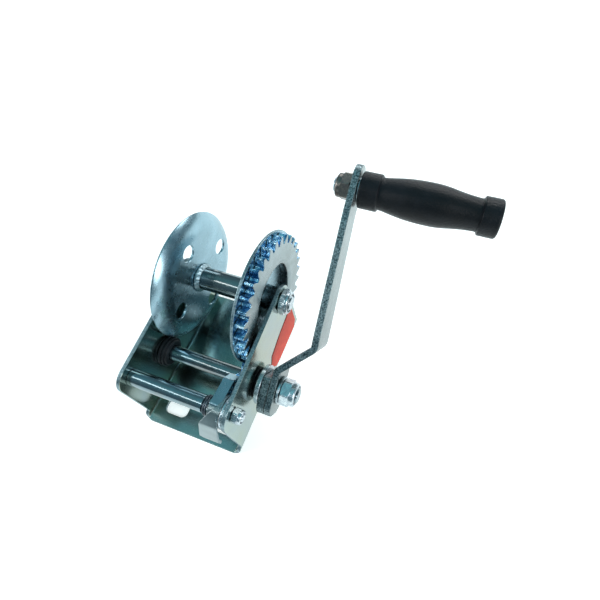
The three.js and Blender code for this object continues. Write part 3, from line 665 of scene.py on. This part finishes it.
def make_bracket():
    middle = HALF_WIDTH - SHEET / 2
    top = AXLE[1] + 20
    fold = Fold([(-middle, top), (-middle, SHEET / 2), (middle, SHEET / 2), (middle, top)], BEND_RADIUS)
    centre = fold.length / 2

    def developed(z):
        """Distance from the middle of the base to height z on a side plate."""
        return fold.flat(z, 1, centre + middle - 3, fold.length) - centre

    slope = math.atan2(AXLE[1] - PAWL[1], AXLE[0] - PAWL[0])

    def top_edge(y):
        return PAWL[1] + END_RADIUS / math.cos(slope) + (y - PAWL[0]) * math.tan(slope)

    back_top = AXLE[0] + END_RADIUS - 0.5
    half = [
        (36.8, BASE_FRONT, 4.5),
        (developed(5.6), BASE_FRONT + 3.0, 2.2),
        (developed(7.2), PLATE_FRONT, 1.6),
        (developed(top_edge(PLATE_FRONT)), PLATE_FRONT, END_RADIUS),
        (developed(top_edge(back_top)), back_top, END_RADIUS - 0.5),
        (36, BASE_BACK),
    ]
    outline = [*half, *((-u, v, *r) for u, v, *r in reversed(half))]
    outline = [(u + centre, v, *r) for u, v, *r in outline]
    holes = []
    for side in (-1, 1):
        for (y, z), radius in ((AXLE, AXLE_BORE), (PAWL, PAWL_BORE), (SHAFT, BUSH_BORE)):
            holes.append(circle(radius, (centre + side * developed(z), y)))
        x, y = centre + side * SLOT_CENTRE[0], SLOT_CENTRE[1]
        dx, dy = SLOT_HALF
        slot = [(x - dx, y - dy), (x + dx, y - dy), (x + dx, y + dy), (x - dx, y + dy)]
        holes.append(rounded([(*corner, SLOT_CORNER) for corner in slot]))
    holes.append(circle(REAR_HOLE_RADIUS, (centre, REAR_HOLE_Y)))
    flat = plate(rounded(outline, step=math.radians(6)), holes, SHEET, 0.35)
    folded = fold.bend(flat, SHEET)
    upright = Matrix(((1, 0, 0), (0, 0, 1), (0, 1, 0))).to_4x4()
    bmesh.ops.transform(folded, matrix=upright, verts=folded.verts)
    bmesh.ops.recalc_face_normals(folded, faces=folded.faces)
    piece("bracket", folded, "frame", ["frame_bracket"], [M["sheet"], M["edge"]])


def make_label():
    x0, x1 = span("warning_label")
    corners = [
        (61.5, 18, 1.5),
        (67, 7.5, 1.5),
        (75, 5.6, 2),
        (105, 5.6, 1.5),
        (109.5, 12, 1.5),
        (108.5, 33, 1.5),
        (103, 37.5, 1.5),
        (84, 34, 4),
        (66.5, 28.5, 1.5),
    ]
    film = place_along_x(plate(rounded(corners), [], x1 - x0, 0.08), x0)
    piece("sticker", film, "frame", ["warning_label"], [M["label"], M["label"]])


# ---------------- fasteners

M12_SHANK = 5.95
M12_NUT_BORE = 6.05
M12_CLEARANCE = 6.3
M12_FLATS = 18
M12_PITCH = 1.75
M12_HEAD = 7.5
M6_SHANK = 2.95
M6_NUT_BORE = 3.05
M6_FLATS = 10
M6_PITCH = 1.0


def lock_nut(name, node, axis, body, across_flats, bore, outward=1, turn=0.0, material="bolt"):
    """A self-locking nut: chamfered hexagon, rolled collar and the nylon ring inside it."""
    x0, x1 = span(node)
    if outward < 0:
        x0, x1 = x1, x0
    joint_x = x0 + 0.66 * (x1 - x0)
    low, high = min(x0, joint_x), max(x0, joint_x)
    hexagon = hexagonal(across_flats, low, high, bore=bore)
    radius = across_flats / 2 - 0.25
    lip = bore + 0.4 * (radius - bore)
    corners = [
        (joint_x - 0.4 * outward, lip),
        (joint_x - 0.4 * outward, radius),
        (x1, radius, 0.09 * across_flats),
        (x1, lip, 0.3),
    ]
    collar = lathe(rounded(corners, step=math.radians(15)))
    ring_x = sorted((x1 - 0.7 * outward, joint_x - 0.2 * outward))
    nylon = turned_ring(lip, bore, ring_x[0], ring_x[1], 0.2, 64)
    for face in nylon.faces:
        face.material_index = 1
    nut = merge(hexagon, collar, nylon)
    piece(name, nut, body, [node], [M[material], M["nylon"]], axis, turn)


def washer(name, node, axis, body, bore, outer=None, turn=0.0, edge=0.35):
    x0, x1 = span(node)
    ring = turned_ring(outer or height(node) / 2, bore, x0, x1, edge)
    piece(name, ring, body, [node], M["bolt"], axis, turn)


def m12_bolt(name, node, axis, body, across_flats, thread_from, head_low=True, turn=0.0):
    """An M12 bolt along X: forged head with a washer face, plain shank and a threaded end."""
    x0, x1 = span(node)
    direction = 1 if head_low else -1
    head_end, tip = (x0, x1) if head_low else (x1, x0)
    seat = head_end + direction * M12_HEAD
    low, high = sorted((head_end, seat - direction * 0.4))
    head = hexagonal(across_flats, low, high, chamfer_low=head_low, chamfer_high=not head_low)
    face_ends = sorted((seat - direction * 0.6, seat))
    face = round_bar(across_flats / 2 * 0.94, *face_ends, edge=0.1, segments=96)
    shank = round_bar(M12_SHANK, *sorted((seat - direction * 0.5, thread_from)))
    thread = threaded_end(M12_SHANK, thread_from - direction * 0.3, tip, M12_PITCH)
    bolt = merge(head, face, shank, thread)
    piece(name, bolt, body, [node], M["bolt"], axis, turn)


# ---------------- drum

GEAR_TEETH = 32
PINION_TEETH = 11
MODULE = 126 / (GEAR_TEETH + PINION_TEETH)
GEAR_PHASE = math.radians(9.04)
BARREL_INNER = 6.4
FLANGE_HOLES = 4
FLANGE_HOLE_CIRCLE = 31.4


def tooth_outline(teeth, phase, thinning=0.5):
    """A spur gear outline with curved flanks and rounded root corners."""
    pitch = MODULE * teeth / 2
    tip = pitch + 0.95 * MODULE
    root = pitch - 1.2 * MODULE
    width = math.pi * MODULE / 2 - thinning
    shares = [
        (root, 1.45),
        (pitch - 0.45 * MODULE, 1.24),
        (pitch, 1.0),
        (pitch + 0.5 * MODULE, 0.74),
        (tip, 0.4),
    ]
    corners = []
    for tooth in range(teeth):
        middle = phase + TAU * tooth / teeth
        flank = [(radius, width * share / 2 / radius) for radius, share in shares]
        for radius, angle in flank:
            fillet = 0.9 if radius == root else 0.5 if radius == tip else 0
            corners.append((radius * math.cos(middle - angle), radius * math.sin(middle - angle), fillet))
        for radius, angle in reversed(flank):
            fillet = 0.9 if radius == root else 0.5 if radius == tip else 0
            corners.append((radius * math.cos(middle + angle), radius * math.sin(middle + angle), fillet))
    return rounded(corners, step=math.radians(25))


def boolean(name, base, tool):
    """Subtracts one mesh from another and returns the result."""
    objects = []
    for label, bm in (("base", base), ("tool", tool)):
        mesh = bpy.data.meshes.new(f"{name}_{label}")
        bm.to_mesh(mesh)
        bm.free()
        objects.append(bpy.data.objects.new(f"{name}_{label}", mesh))
        bpy.context.scene.collection.objects.link(objects[-1])
    cutter = objects[0].modifiers.new("cut", "BOOLEAN")
    cutter.operation = "DIFFERENCE"
    cutter.solver = "EXACT"
    cutter.object = objects[1]
    graph = bpy.context.evaluated_depsgraph_get()
    result = bmesh.new()
    evaluated = bpy.data.meshes.new_from_object(objects[0].evaluated_get(graph))
    result.from_mesh(evaluated)
    bpy.data.meshes.remove(evaluated)
    bmesh.ops.dissolve_degenerate(result, edges=result.edges, dist=1e-3)
    for obj in objects:
        mesh = obj.data
        bpy.data.objects.remove(obj)
        bpy.data.meshes.remove(mesh)
    return result


def make_drum_gear():
    back, front = span("drum_gear")
    recess, mouth = 26.7, 3.2
    mouth_circle = circle(recess + mouth, count=96)
    blank = plate(tooth_outline(GEAR_TEETH, GEAR_PHASE), [mouth_circle], front - back, 0.4)
    corners = [
        (back + 0.02, recess, 0.3),
        (front, recess, mouth),
        (front, recess + mouth + 0.15),
        (back + 0.02, recess + mouth + 0.15),
    ]
    lip = lathe(rounded(corners, step=math.radians(9)), 128)
    gear = merge(place_along_x(blank, back), lip)
    piece("gear_wheel", gear, "drum", ["drum_gear"], [M["gear"], M["tooth"]], AXLE)


def make_left_flange():
    face = span("drum_barrel")[0] - 0.3
    rim_radius = height("left_flange") / 2 - 0.05
    sheet, start, depth = 2.0, 35.0, 7.5
    run = rim_radius - start
    sweep = 2 * math.atan(depth / run)
    bend = run / math.sin(sweep)

    def arc(offset, steps=16):
        reach = bend - offset
        angles = [sweep * k / steps for k in range(steps + 1)]
        return [(face - bend + reach * math.cos(a), start + reach * math.sin(a)) for a in angles]

    outer, inner = arc(sheet), arc(0)
    rim_corners = [outer[-2], (*outer[-1], 0.8), (*inner[-1], 0.8), inner[-2]]
    rim = rounded(rim_corners, closed=False, step=math.radians(30))
    dish = [*outer[:-1], *rim[1:-1], *reversed(inner[:-1])]
    profile = [(face - sheet, BARREL_INNER), *dish, (face, BARREL_INNER)]
    disc = lathe(profile, 160)
    hole_corners = [
        (face - sheet - 1, 0),
        (face - sheet - 1, 7.3),
        (face - sheet + 0.3, 6.5, 0.6),
        (face - 0.3, 6.5, 0.6),
        (face + 1, 7.3),
        (face + 1, 0),
    ]
    hole_profile = rounded(hole_corners, closed=False, step=math.radians(15))
    for place in circle(FLANGE_HOLE_CIRCLE, count=FLANGE_HOLES):
        tool = lathe(hole_profile, 48)
        bmesh.ops.translate(tool, verts=tool.verts, vec=(0, *place))
        disc = boolean("flange", disc, tool)
    # The rim faces get painted shade as a dark outline.
    disc = mark_rim(disc, rim_radius - 0.4)
    looks = [M["flange"], M["rim"]]
    piece("dished_flange", disc, "drum", ["left_flange"], looks, AXLE)


def make_right_flange():
    x0, x1 = span("right_flange")
    radius = height("right_flange") / 2 - 0.05
    # The rim faces get painted shade as a dark outline.
    ring = mark_rim(turned_ring(radius, BARREL_INNER, x0, x1, 0.5, 160), radius - 0.5)
    looks = [M["flange"], M["rim"]]
    piece("gear_side_flange", ring, "drum", ["right_flange"], looks, AXLE)


def make_weld(name, node, toe):
    """A hand-run fillet weld: overlapping ripples round the barrel."""
    x0, x1 = span(node)
    wide, narrow = (x0, x1) if toe > 0 else (x1, x0)
    inner = 9.3
    corners = [
        (wide, inner),
        (wide, inner + 2.8, 0.5),
        (wide + 1.6 * toe, inner + 2.1, 1.2),
        (narrow, inner + 0.5, 0.3),
        (narrow, inner),
    ]
    profile = rounded(corners, step=math.radians(15))
    ripples = 26

    def ripple(i, angle):
        swell = 0.5 + 0.5 * math.cos(angle * ripples + i * 0.35)
        drift = 0.12 * math.sin(3 * angle + 1.3) + 0.08 * math.sin(7 * angle)
        return 0 if profile[i][1] < inner + 0.2 else (swell**1.6 - 1) * 0.32 + drift - 0.1

    piece(name, lathe(profile, 208, ripple), "drum", [node], M["weld"], AXLE)


def make_drum():
    make_left_flange()
    make_right_flange()
    make_drum_gear()
    x0, x1 = span("drum_barrel")
    tube = turned_ring(9, BARREL_INNER, x0, x1)
    piece("barrel", tube, "drum", ["drum_barrel"], M["tube"], AXLE)
    make_weld("left_weld", "left_weld_bead", 1)
    make_weld("right_weld", "right_weld_bead", -1)


def make_axle():
    m12_bolt("drum_axle", "axle_bolt", AXLE, "frame", M12_FLATS, span("axle_nut")[0])
    lock_nut("axle_lock_nut", "axle_nut", AXLE, "frame", M12_FLATS, M12_NUT_BORE)
    for side in ("left", "right"):
        node = f"{side}_drum_spacer"
        x0, x1 = span(node)
        tube = turned_ring(9.5, AXLE_BORE, x0, x1, 0.4)
        piece(f"{side}_spacer", tube, "frame", [node], M["tube"], AXLE)


# ---------------- pinion shaft and bushes


def make_bushes():
    wall = 38.7
    left = [
        (-42, 6.3, 0.3),
        (-42, 9.1, 0.4),
        (-wall, 9.1),
        (-wall, 11.7, 0.5),
        (-wall + 1.9, 11.7, 0.5),
        (-wall + 2.1, 10.4, 0.3),
        (-wall + 2.8, 10.4, 0.3),
        (-wall + 3.0, 11.6, 0.5),
        (-wall + 4.7, 11.6, 0.6),
        (-wall + 4.9, 9.9, 0.3),
        (-wall + 5.4, 9.9, 0.3),
        (-wall + 5.6, 10.2, 0.3),
        (-wall + 6.4, 9.6, 0.5),
        (-wall + 6.4, 6.3, 0.3),
    ]
    right = [
        (38.4, 6.3, 0.3),
        (38.4, 9.1, 0.4),
        (42.3, 9.1),
        (42.3, 11.5, 0.4),
        (44.3, 11.5, 0.6),
        (44.3, 6.3, 0.3),
    ]
    for side, corners in (("left", left), ("right", right)):
        bush = lathe(rounded(corners, step=math.radians(22)))
        node = f"{side}_shaft_bush"
        piece(f"{side}_bush", bush, "frame", [node], M["bush"], SHAFT)


def make_shaft():
    x0, x1 = span("pinion_shaft")
    clip_low, clip_high = span("shaft_clip")
    thread_start = span("outer_crank_washer")[0]
    corners = [
        (x0, 0),
        (x0, 6, 0.8),
        (clip_low - 0.1, 6, 0.15),
        (clip_low - 0.1, 5.2, 0.1),
        (clip_high + 0.1, 5.2, 0.1),
        (clip_high + 0.1, 6, 0.15),
        (thread_start, 6, 0.2),
        (thread_start, 0),
    ]
    plain = lathe(rounded(corners, closed=False, step=math.radians(22)), 64)
    shaft = merge(plain, threaded_end(6, thread_start - 0.35, x1, M12_PITCH))
    looks = [M["tube"]]
    piece("pinion_axle", shaft, "crank", ["pinion_shaft"], looks, SHAFT, CRANK_TURN)
    outline = [(r * math.sin(a), -r * math.cos(a)) for r, a in clip_points()]
    clip = place_along_x(plate(outline, [], clip_high - clip_low, 0.15), clip_low)
    looks = [M["spring"], M["spring"]]
    piece("retaining_clip", clip, "crank", ["shaft_clip"], looks, SHAFT, CRANK_TURN)


def clip_points(opening=math.radians(34), steps=40):
    """An E-clip: outer arc, open mouth and three inner lobes, as (radius, angle from the mouth)."""
    outer, waist, lobe = 9.9, 7.6, 5.3
    points = []
    for k in range(steps + 1):
        points.append((outer, opening / 2 + (TAU - opening) * k / steps))
    for k in range(steps + 1):
        angle = TAU - opening / 2 - (TAU - opening) * k / steps
        contact = abs(math.cos(1.5 * angle)) ** 2
        points.append((lobe if contact < 0.22 else waist, angle))
    return points


def pinion_gap():
    """The angle of the pinion gap that takes the gear tooth nearest to the line between the shafts."""
    step = TAU / GEAR_TEETH
    direction = math.atan2(SHAFT[1] - AXLE[1], SHAFT[0] - AXLE[0]) % TAU
    offset = GEAR_PHASE + round((direction - GEAR_PHASE) / step) * step - direction
    return direction + math.pi - offset * GEAR_TEETH / PINION_TEETH


def make_pinion():
    x0, x1 = span("pinion_gear")
    phase = pinion_gap() + math.pi / PINION_TEETH - CRANK_TURN
    teeth = plate(tooth_outline(PINION_TEETH, phase), [circle(M12_CLEARANCE)], x1 - x0, 0.3)
    looks = [M["gear"], M["tooth"]]
    pinion = place_along_x(teeth, x0)
    piece("pinion", pinion, "crank", ["pinion_gear"], looks, SHAFT, CRANK_TURN)


# ---------------- crank


ARM_SHEET = 5
ARM_BEND = 5.5


def make_arm():
    hub_x = span("crank_arm")[0] + ARM_SHEET / 2
    grip_x = span("grip_washer")[0] - 0.3 - ARM_SHEET / 2
    points = [(hub_x, -19.5), (hub_x, 16), (79.3, 39.5), (grip_x, 138), (grip_x, 173)]
    fold = Fold(points, ARM_BEND)

    def flat(s):
        return fold.flat(s, 1)

    half = [
        (flat(-19.5), 12.5, 9.5),
        (flat(12), 12.5, 26),
        (flat(48), 16, 26),
        (flat(138), 12.2, 60),
        (flat(173), 11.2, 10.8),
    ]
    outline = [*((u, -w, r) for u, w, r in half), *reversed(half)]
    holes = [circle(M12_CLEARANCE, (flat(0), 0)), circle(M12_CLEARANCE, (flat(REACH), 0))]
    blank = plate(rounded(outline, step=math.radians(6)), holes, ARM_SHEET, 0.5)
    arm = fold.bend(blank, ARM_SHEET)
    # The edge faces get painted shade.
    looks = [M["arm"], M["painted_shade_edge"]]
    piece("bent_arm", arm, "crank", ["crank_arm"], looks, SHAFT, CRANK_TURN)


def make_hub_plate():
    x0, x1 = span("hub_plate")
    corners = [(-19.5, -12.5, 9.5), (10, -12.5, 2.5), (10, 12.5, 2.5), (-19.5, 12.5, 9.5)]
    outline = rounded(corners, step=math.radians(6))
    backing = place_along_x(plate(outline, [circle(M12_CLEARANCE)], x1 - x0, 0.5), x0)
    # The edge faces get painted shade.
    looks = [M["arm"], M["painted_shade_edge"]]
    piece("hub_backing", backing, "crank", ["hub_plate"], looks, SHAFT, CRANK_TURN)


def make_grip():
    x0, x1 = span("grip")
    length = x1 - x0
    head_pocket = 12
    swell = [
        (14.4, 11.6),
        (17, 11.75),
        (21, 12.4),
        (27, 13.4),
        (34, 14.3),
        (43, 14.8),
        (52, 14.8),
        (59, 14.2),
        (66, 13),
        (73, 12),
        (80, 11.4),
        (82, 11.5),
    ]
    collar = rounded([(0, 7), (0, 13.3, 1.3), (13.4, 13.3, 0.9), (14.4, 11.6)], closed=False)
    end_corners = [
        (82, 11.5),
        (83, 13.45, 0.8),
        (length, 13.45, 1.9),
        (length, 11, 0.5),
        (length - head_pocket, 11, 0.5),
        (length - head_pocket, 6.3, 0.2),
        (0, 6.3, 0.4),
        (0, 7),
    ]
    end = rounded(end_corners, closed=False)
    profile = [*collar[:-1], *smooth_curve(swell), *end[1:-1]]
    body = lathe([(x0 + along, radius) for along, radius in profile], 128)
    piece("handle_grip", body, "grip", ["grip"], M["grip"], GRIP, CRANK_TURN)


def make_crank():
    make_shaft()
    make_pinion()
    make_arm()
    make_hub_plate()
    bore, flats, nut_bore = M12_CLEARANCE, M12_FLATS, M12_NUT_BORE
    washer("crank_back_washer", "inner_crank_washer", SHAFT, "crank", bore, 15, CRANK_TURN, 0.5)
    washer("crank_front_washer", "outer_crank_washer", SHAFT, "crank", bore, 10.4, CRANK_TURN)
    lock_nut("crank_lock_nut", "crank_nut", SHAFT, "crank", flats, nut_bore, 1, CRANK_TURN)
    washer("grip_flat_washer", "grip_washer", GRIP, "crank", bore, 9.5, CRANK_TURN, 0.2)
    lock_nut("grip_lock_nut", "grip_nut", GRIP, "crank", flats, nut_bore, -1, CRANK_TURN, "dark_steel")
    m12_bolt("grip_spindle", "grip_bolt", GRIP, "crank", 17.5, 74, False, CRANK_TURN)
    make_grip()


# ---------------- pawl


def make_pawl_bolt():
    """The cross bolt: a low domed head on the left plate and a small lock nut on the right one."""
    x0, x1 = span("pawl_bolt")
    seat = x0 + 2.4
    dome = [(0, 0), (0.05, 1.5), (0.3, 3), (0.85, 4.6), (1.6, 5.8), (2, 6.15)]
    under = [(seat - 0.1, 6.15), (seat, 6.05), (seat, 0)]
    head = lathe([*((x0 + along, radius) for along, radius in dome), *under])
    thread_start = span("pawl_nut")[0] - 3
    shank = round_bar(M6_SHANK, seat - 0.5, thread_start, 0.2)
    bolt = merge(head, shank, threaded_end(M6_SHANK, thread_start - 0.3, x1, M6_PITCH))
    piece("pawl_cross_bolt", bolt, "frame", ["pawl_bolt"], M["bolt"], PAWL)
    lock_nut("pawl_lock_nut", "pawl_nut", PAWL, "frame", M6_FLATS, M6_NUT_BORE)
    washer("pawl_flat_washer", "pawl_washer", PAWL, "frame", PAWL_BORE)
    x0, x1 = span("pawl_spacer_tube")
    tube = turned_ring(6, PAWL_BORE, x0, x1, 0.3)
    piece("pawl_spacer", tube, "frame", ["pawl_spacer_tube"], M["tube"], PAWL)


PAWL_LEFT = 26.0
PAWL_SHEET = 2.0
PAWL_HUB = 7.6
PAWL_CHEEK = 11.45
PAWL_RELEASED_BY = math.radians(15.8)


def make_pawl():
    right = span("pawl")[1]
    bore = circle(PAWL_BORE, count=48)
    round_the_hub = [(3, 8, 2), (-4.5, 5, 3), (-4.5, -5.5, 3), (4, -7.2, 2)]
    outline = rounded([*pawl_nose(), *round_the_hub], step=math.radians(10))
    web = place_along_x(plate(outline, [bore], right - 2.6 - PAWL_LEFT, 0.3), PAWL_LEFT)
    for face in web.faces:
        face.material_index = 2
    hub = turned_ring(PAWL_HUB, PAWL_BORE, PAWL_LEFT, right - 0.3, 0.3)
    disc = plate(circle(PAWL_CHEEK, count=96), [bore], PAWL_SHEET, 0.4)
    cheek = place_along_x(disc, right - PAWL_SHEET)
    tab = make_tab(right)
    engage = Matrix.Rotation(-PAWL_RELEASED_BY, 3, "X")
    bmesh.ops.rotate(tab, verts=tab.verts, cent=(0, 0, 0), matrix=engage)
    ratchet = merge(web, hub, cheek, tab)
    looks = [M["pawl"], M["edge"], M["flange"]]
    piece("ratchet_pawl", ratchet, "pawl", ["pawl"], looks, PAWL, PAWL_RELEASED_BY)


def pawl_nose():
    """The nose's corners, found where it sits in a pinion gap when it is engaged."""
    gap = pinion_gap() + TAU * 3 / PINION_TEETH
    out = Vector((math.cos(gap), math.sin(gap)))
    side = Vector((-out.y, out.x))
    centre = Vector((SHAFT[0] - PAWL[0], SHAFT[1] - PAWL[1]))

    def at(radius, across, fillet):
        return (*(centre + out * radius + side * across), fillet)

    return [
        at(20.5, 2.2, 1),
        at(15.2, 0.7, 0.4),
        at(15.2, -0.8, 0.4),
        at(20, -1.6, 0),
        at(24.5, -2.4, 2),
    ]


def make_tab(right):
    """The thumb rest: a sheet curled over the hub and down in front of it, cut back to the left."""
    fold = Fold([(6, 10.3), (-4, 10.3), (-12.5, 2.5), (-17.5, -11.5), (-16.5, -19)], 6)
    lowest_front = fold.flat(-11, 1, 12)

    def over(y):
        return fold.flat(y, 0, 0, lowest_front)

    def down(z):
        return fold.flat(z, 1, 12)

    plan = [
        (over(5.9), right, 0),
        (over(5.9), right - 0.6, 0),
        (over(0), right - 3.6, 8),
        (over(-6), right - 8.4, 20),
        (over(-12), right - 13.1, 4),
        (down(-11.8), right - 14.4, 1.2),
        (down(-11.4), right - 13, 1.2),
        (down(-13.5), right - 11, 2),
        (down(-18.4), right - 4.6, 1.5),
        (down(-18.4), right, 1.5),
    ]
    sheet = fold.bend(plate(rounded(plan), [], PAWL_SHEET, 0.4), PAWL_SHEET)
    return place_along_x(sheet, 0)


def make_spring():
    """A torsion spring of round wire: two coils and two straight legs."""
    x0, x1 = span("pawl_spring")
    wire, radius, leg, turns = 0.7, 6.4, 9.0, 2
    start = -math.pi / 2
    leg_steps, coil_steps = 8, turns * 28

    def leg_point(x, reach):
        along_y = radius * math.cos(start) + reach * math.sin(start)
        return (x, along_y, radius * math.sin(start) - reach * math.cos(start))

    path = [leg_point(x0 + wire, leg * (1 - k / leg_steps)) for k in range(leg_steps)]
    for k in range(coil_steps + 1):
        angle = start + TAU * turns * k / coil_steps
        x = x0 + wire + (x1 - x0 - 2 * wire) * k / coil_steps
        path.append((x, radius * math.cos(angle), radius * math.sin(angle)))
    path += [leg_point(x1 - wire, -leg * k / leg_steps) for k in range(1, leg_steps + 1)]
    coil = tube_along(path, wire)
    piece("torsion_spring", coil, "frame", ["pawl_spring"], M["spring"], PAWL)


def tube_along(path, radius, sides=12):
    points = [Vector(p) for p in path]
    bm = bmesh.new()
    rings = []
    for i, point in enumerate(points):
        ahead = (points[min(i + 1, len(points) - 1)] - points[max(i - 1, 0)]).normalized()
        across = Vector((1, 0, 0)) - ahead * ahead.x
        across.normalize()
        up = ahead.cross(across)
        ring = [point + across * y + up * z for y, z in circle(radius, count=sides)]
        rings.append([bm.verts.new(corner) for corner in ring])
    for first, second in zip(rings, rings[1:]):
        for k in range(sides):
            n = (k + 1) % sides
            bm.faces.new((first[k], first[n], second[n], second[k]))
    bm.faces.new(rings[0])
    bm.faces.new(rings[-1])
    bmesh.ops.recalc_face_normals(bm, faces=bm.faces)
    return bm


# ---------------- studio


def make_floor():
    mesh = bpy.data.meshes.new("floor")
    half = 4.0
    corners = [(-half, -half, 0), (half, -half, 0), (half, half, 0), (-half, half, 0)]
    mesh.from_pydata(corners, [], [(0, 1, 2, 3)])
    mesh.materials.append(studio_floor())
    floor = bpy.data.objects.new("floor", mesh)
    floor.location = (0.05, 0.08, cad_box[0].z - 0.0002)
    bpy.context.scene.collection.objects.link(floor)


def soft_light(name, place, target, size, power):
    data = bpy.data.lights.new(name, "AREA")
    data.shape = "RECTANGLE"
    data.size, data.size_y = size
    data.energy = power
    light = bpy.data.objects.new(name, data)
    light.location = place
    light.rotation_euler = (Vector(target) - Vector(place)).to_track_quat("-Z", "Y").to_euler()
    bpy.context.scene.collection.objects.link(light)


def make_world():
    """A studio surround: paler overhead, darker round the horizon, for the metal to reflect."""
    world = bpy.data.worlds.new("studio")
    world.use_nodes = True
    tree = world.node_tree
    background = tree.nodes["Background"]
    coordinates = tree.nodes.new("ShaderNodeTexCoord")
    split = tree.nodes.new("ShaderNodeSeparateXYZ")
    ramp = tree.nodes.new("ShaderNodeValToRGB")
    tree.links.new(coordinates.outputs["Generated"], split.inputs[0])
    tree.links.new(split.outputs["Z"], ramp.inputs["Fac"])
    tree.links.new(ramp.outputs["Color"], background.inputs["Color"])
    elements = ramp.color_ramp.elements
    elements[0].position, elements[0].color = 0.0, (0.14, 0.24, 0.27, 1)
    elements[1].position, elements[1].color = 0.97, (0.2, 0.52, 0.6, 1)
    elements.new(0.35).color = (0.13, 0.21, 0.26, 1)
    elements.new(0.75).color = (0.16, 0.32, 0.37, 1)
    background.inputs["Strength"].default_value = 1.0
    bpy.context.scene.world = world


def make_camera():
    """The photograph's viewpoint: close, high and to the crank side."""
    data = bpy.data.cameras.new("camera")
    data.sensor_width = 36
    data.lens = 24.7896
    data.shift_x = -0.0363
    data.shift_y = -0.046
    data.clip_start = 0.01
    camera = bpy.data.objects.new("camera", data)
    right = Vector((0.939, 0.3383, -0.0571))
    down = Vector((0.2554, -0.7998, -0.543))
    ahead = right.cross(down).normalized()
    down = ahead.cross(right).normalized()
    right.normalize()
    rotation = Matrix((right, -down, -ahead)).transposed()
    camera.matrix_world = Matrix.Translation((0.13585, -0.02754, 0.33240)) @ rotation.to_4x4()
    bpy.context.scene.collection.objects.link(camera)
    bpy.context.scene.camera = camera


make_bracket()
make_label()
make_axle()
make_drum()
make_bushes()
make_crank()
make_pawl_bolt()
make_pawl()
make_spring()
make_floor()
make_world()
soft_light("key", (-1.35, -0.5, 0.7), (0.03, 0.08, 0.03), (0.7, 0.5), 14)
soft_light("strip", (-0.42, -0.3, 0.9), (0.0, 0.05, 0.06), (0.9, 0.05), 1.1)
soft_light("fill", (1.15, -0.35, 0.75), (0.05, 0.08, 0.03), (0.5, 0.9), 9)
soft_light("rim", (0.25, 1.25, 0.75), (0.03, 0.08, 0.03), (1.2, 0.4), 10)
make_camera()
bpy.context.scene.view_settings.view_transform = "Standard"
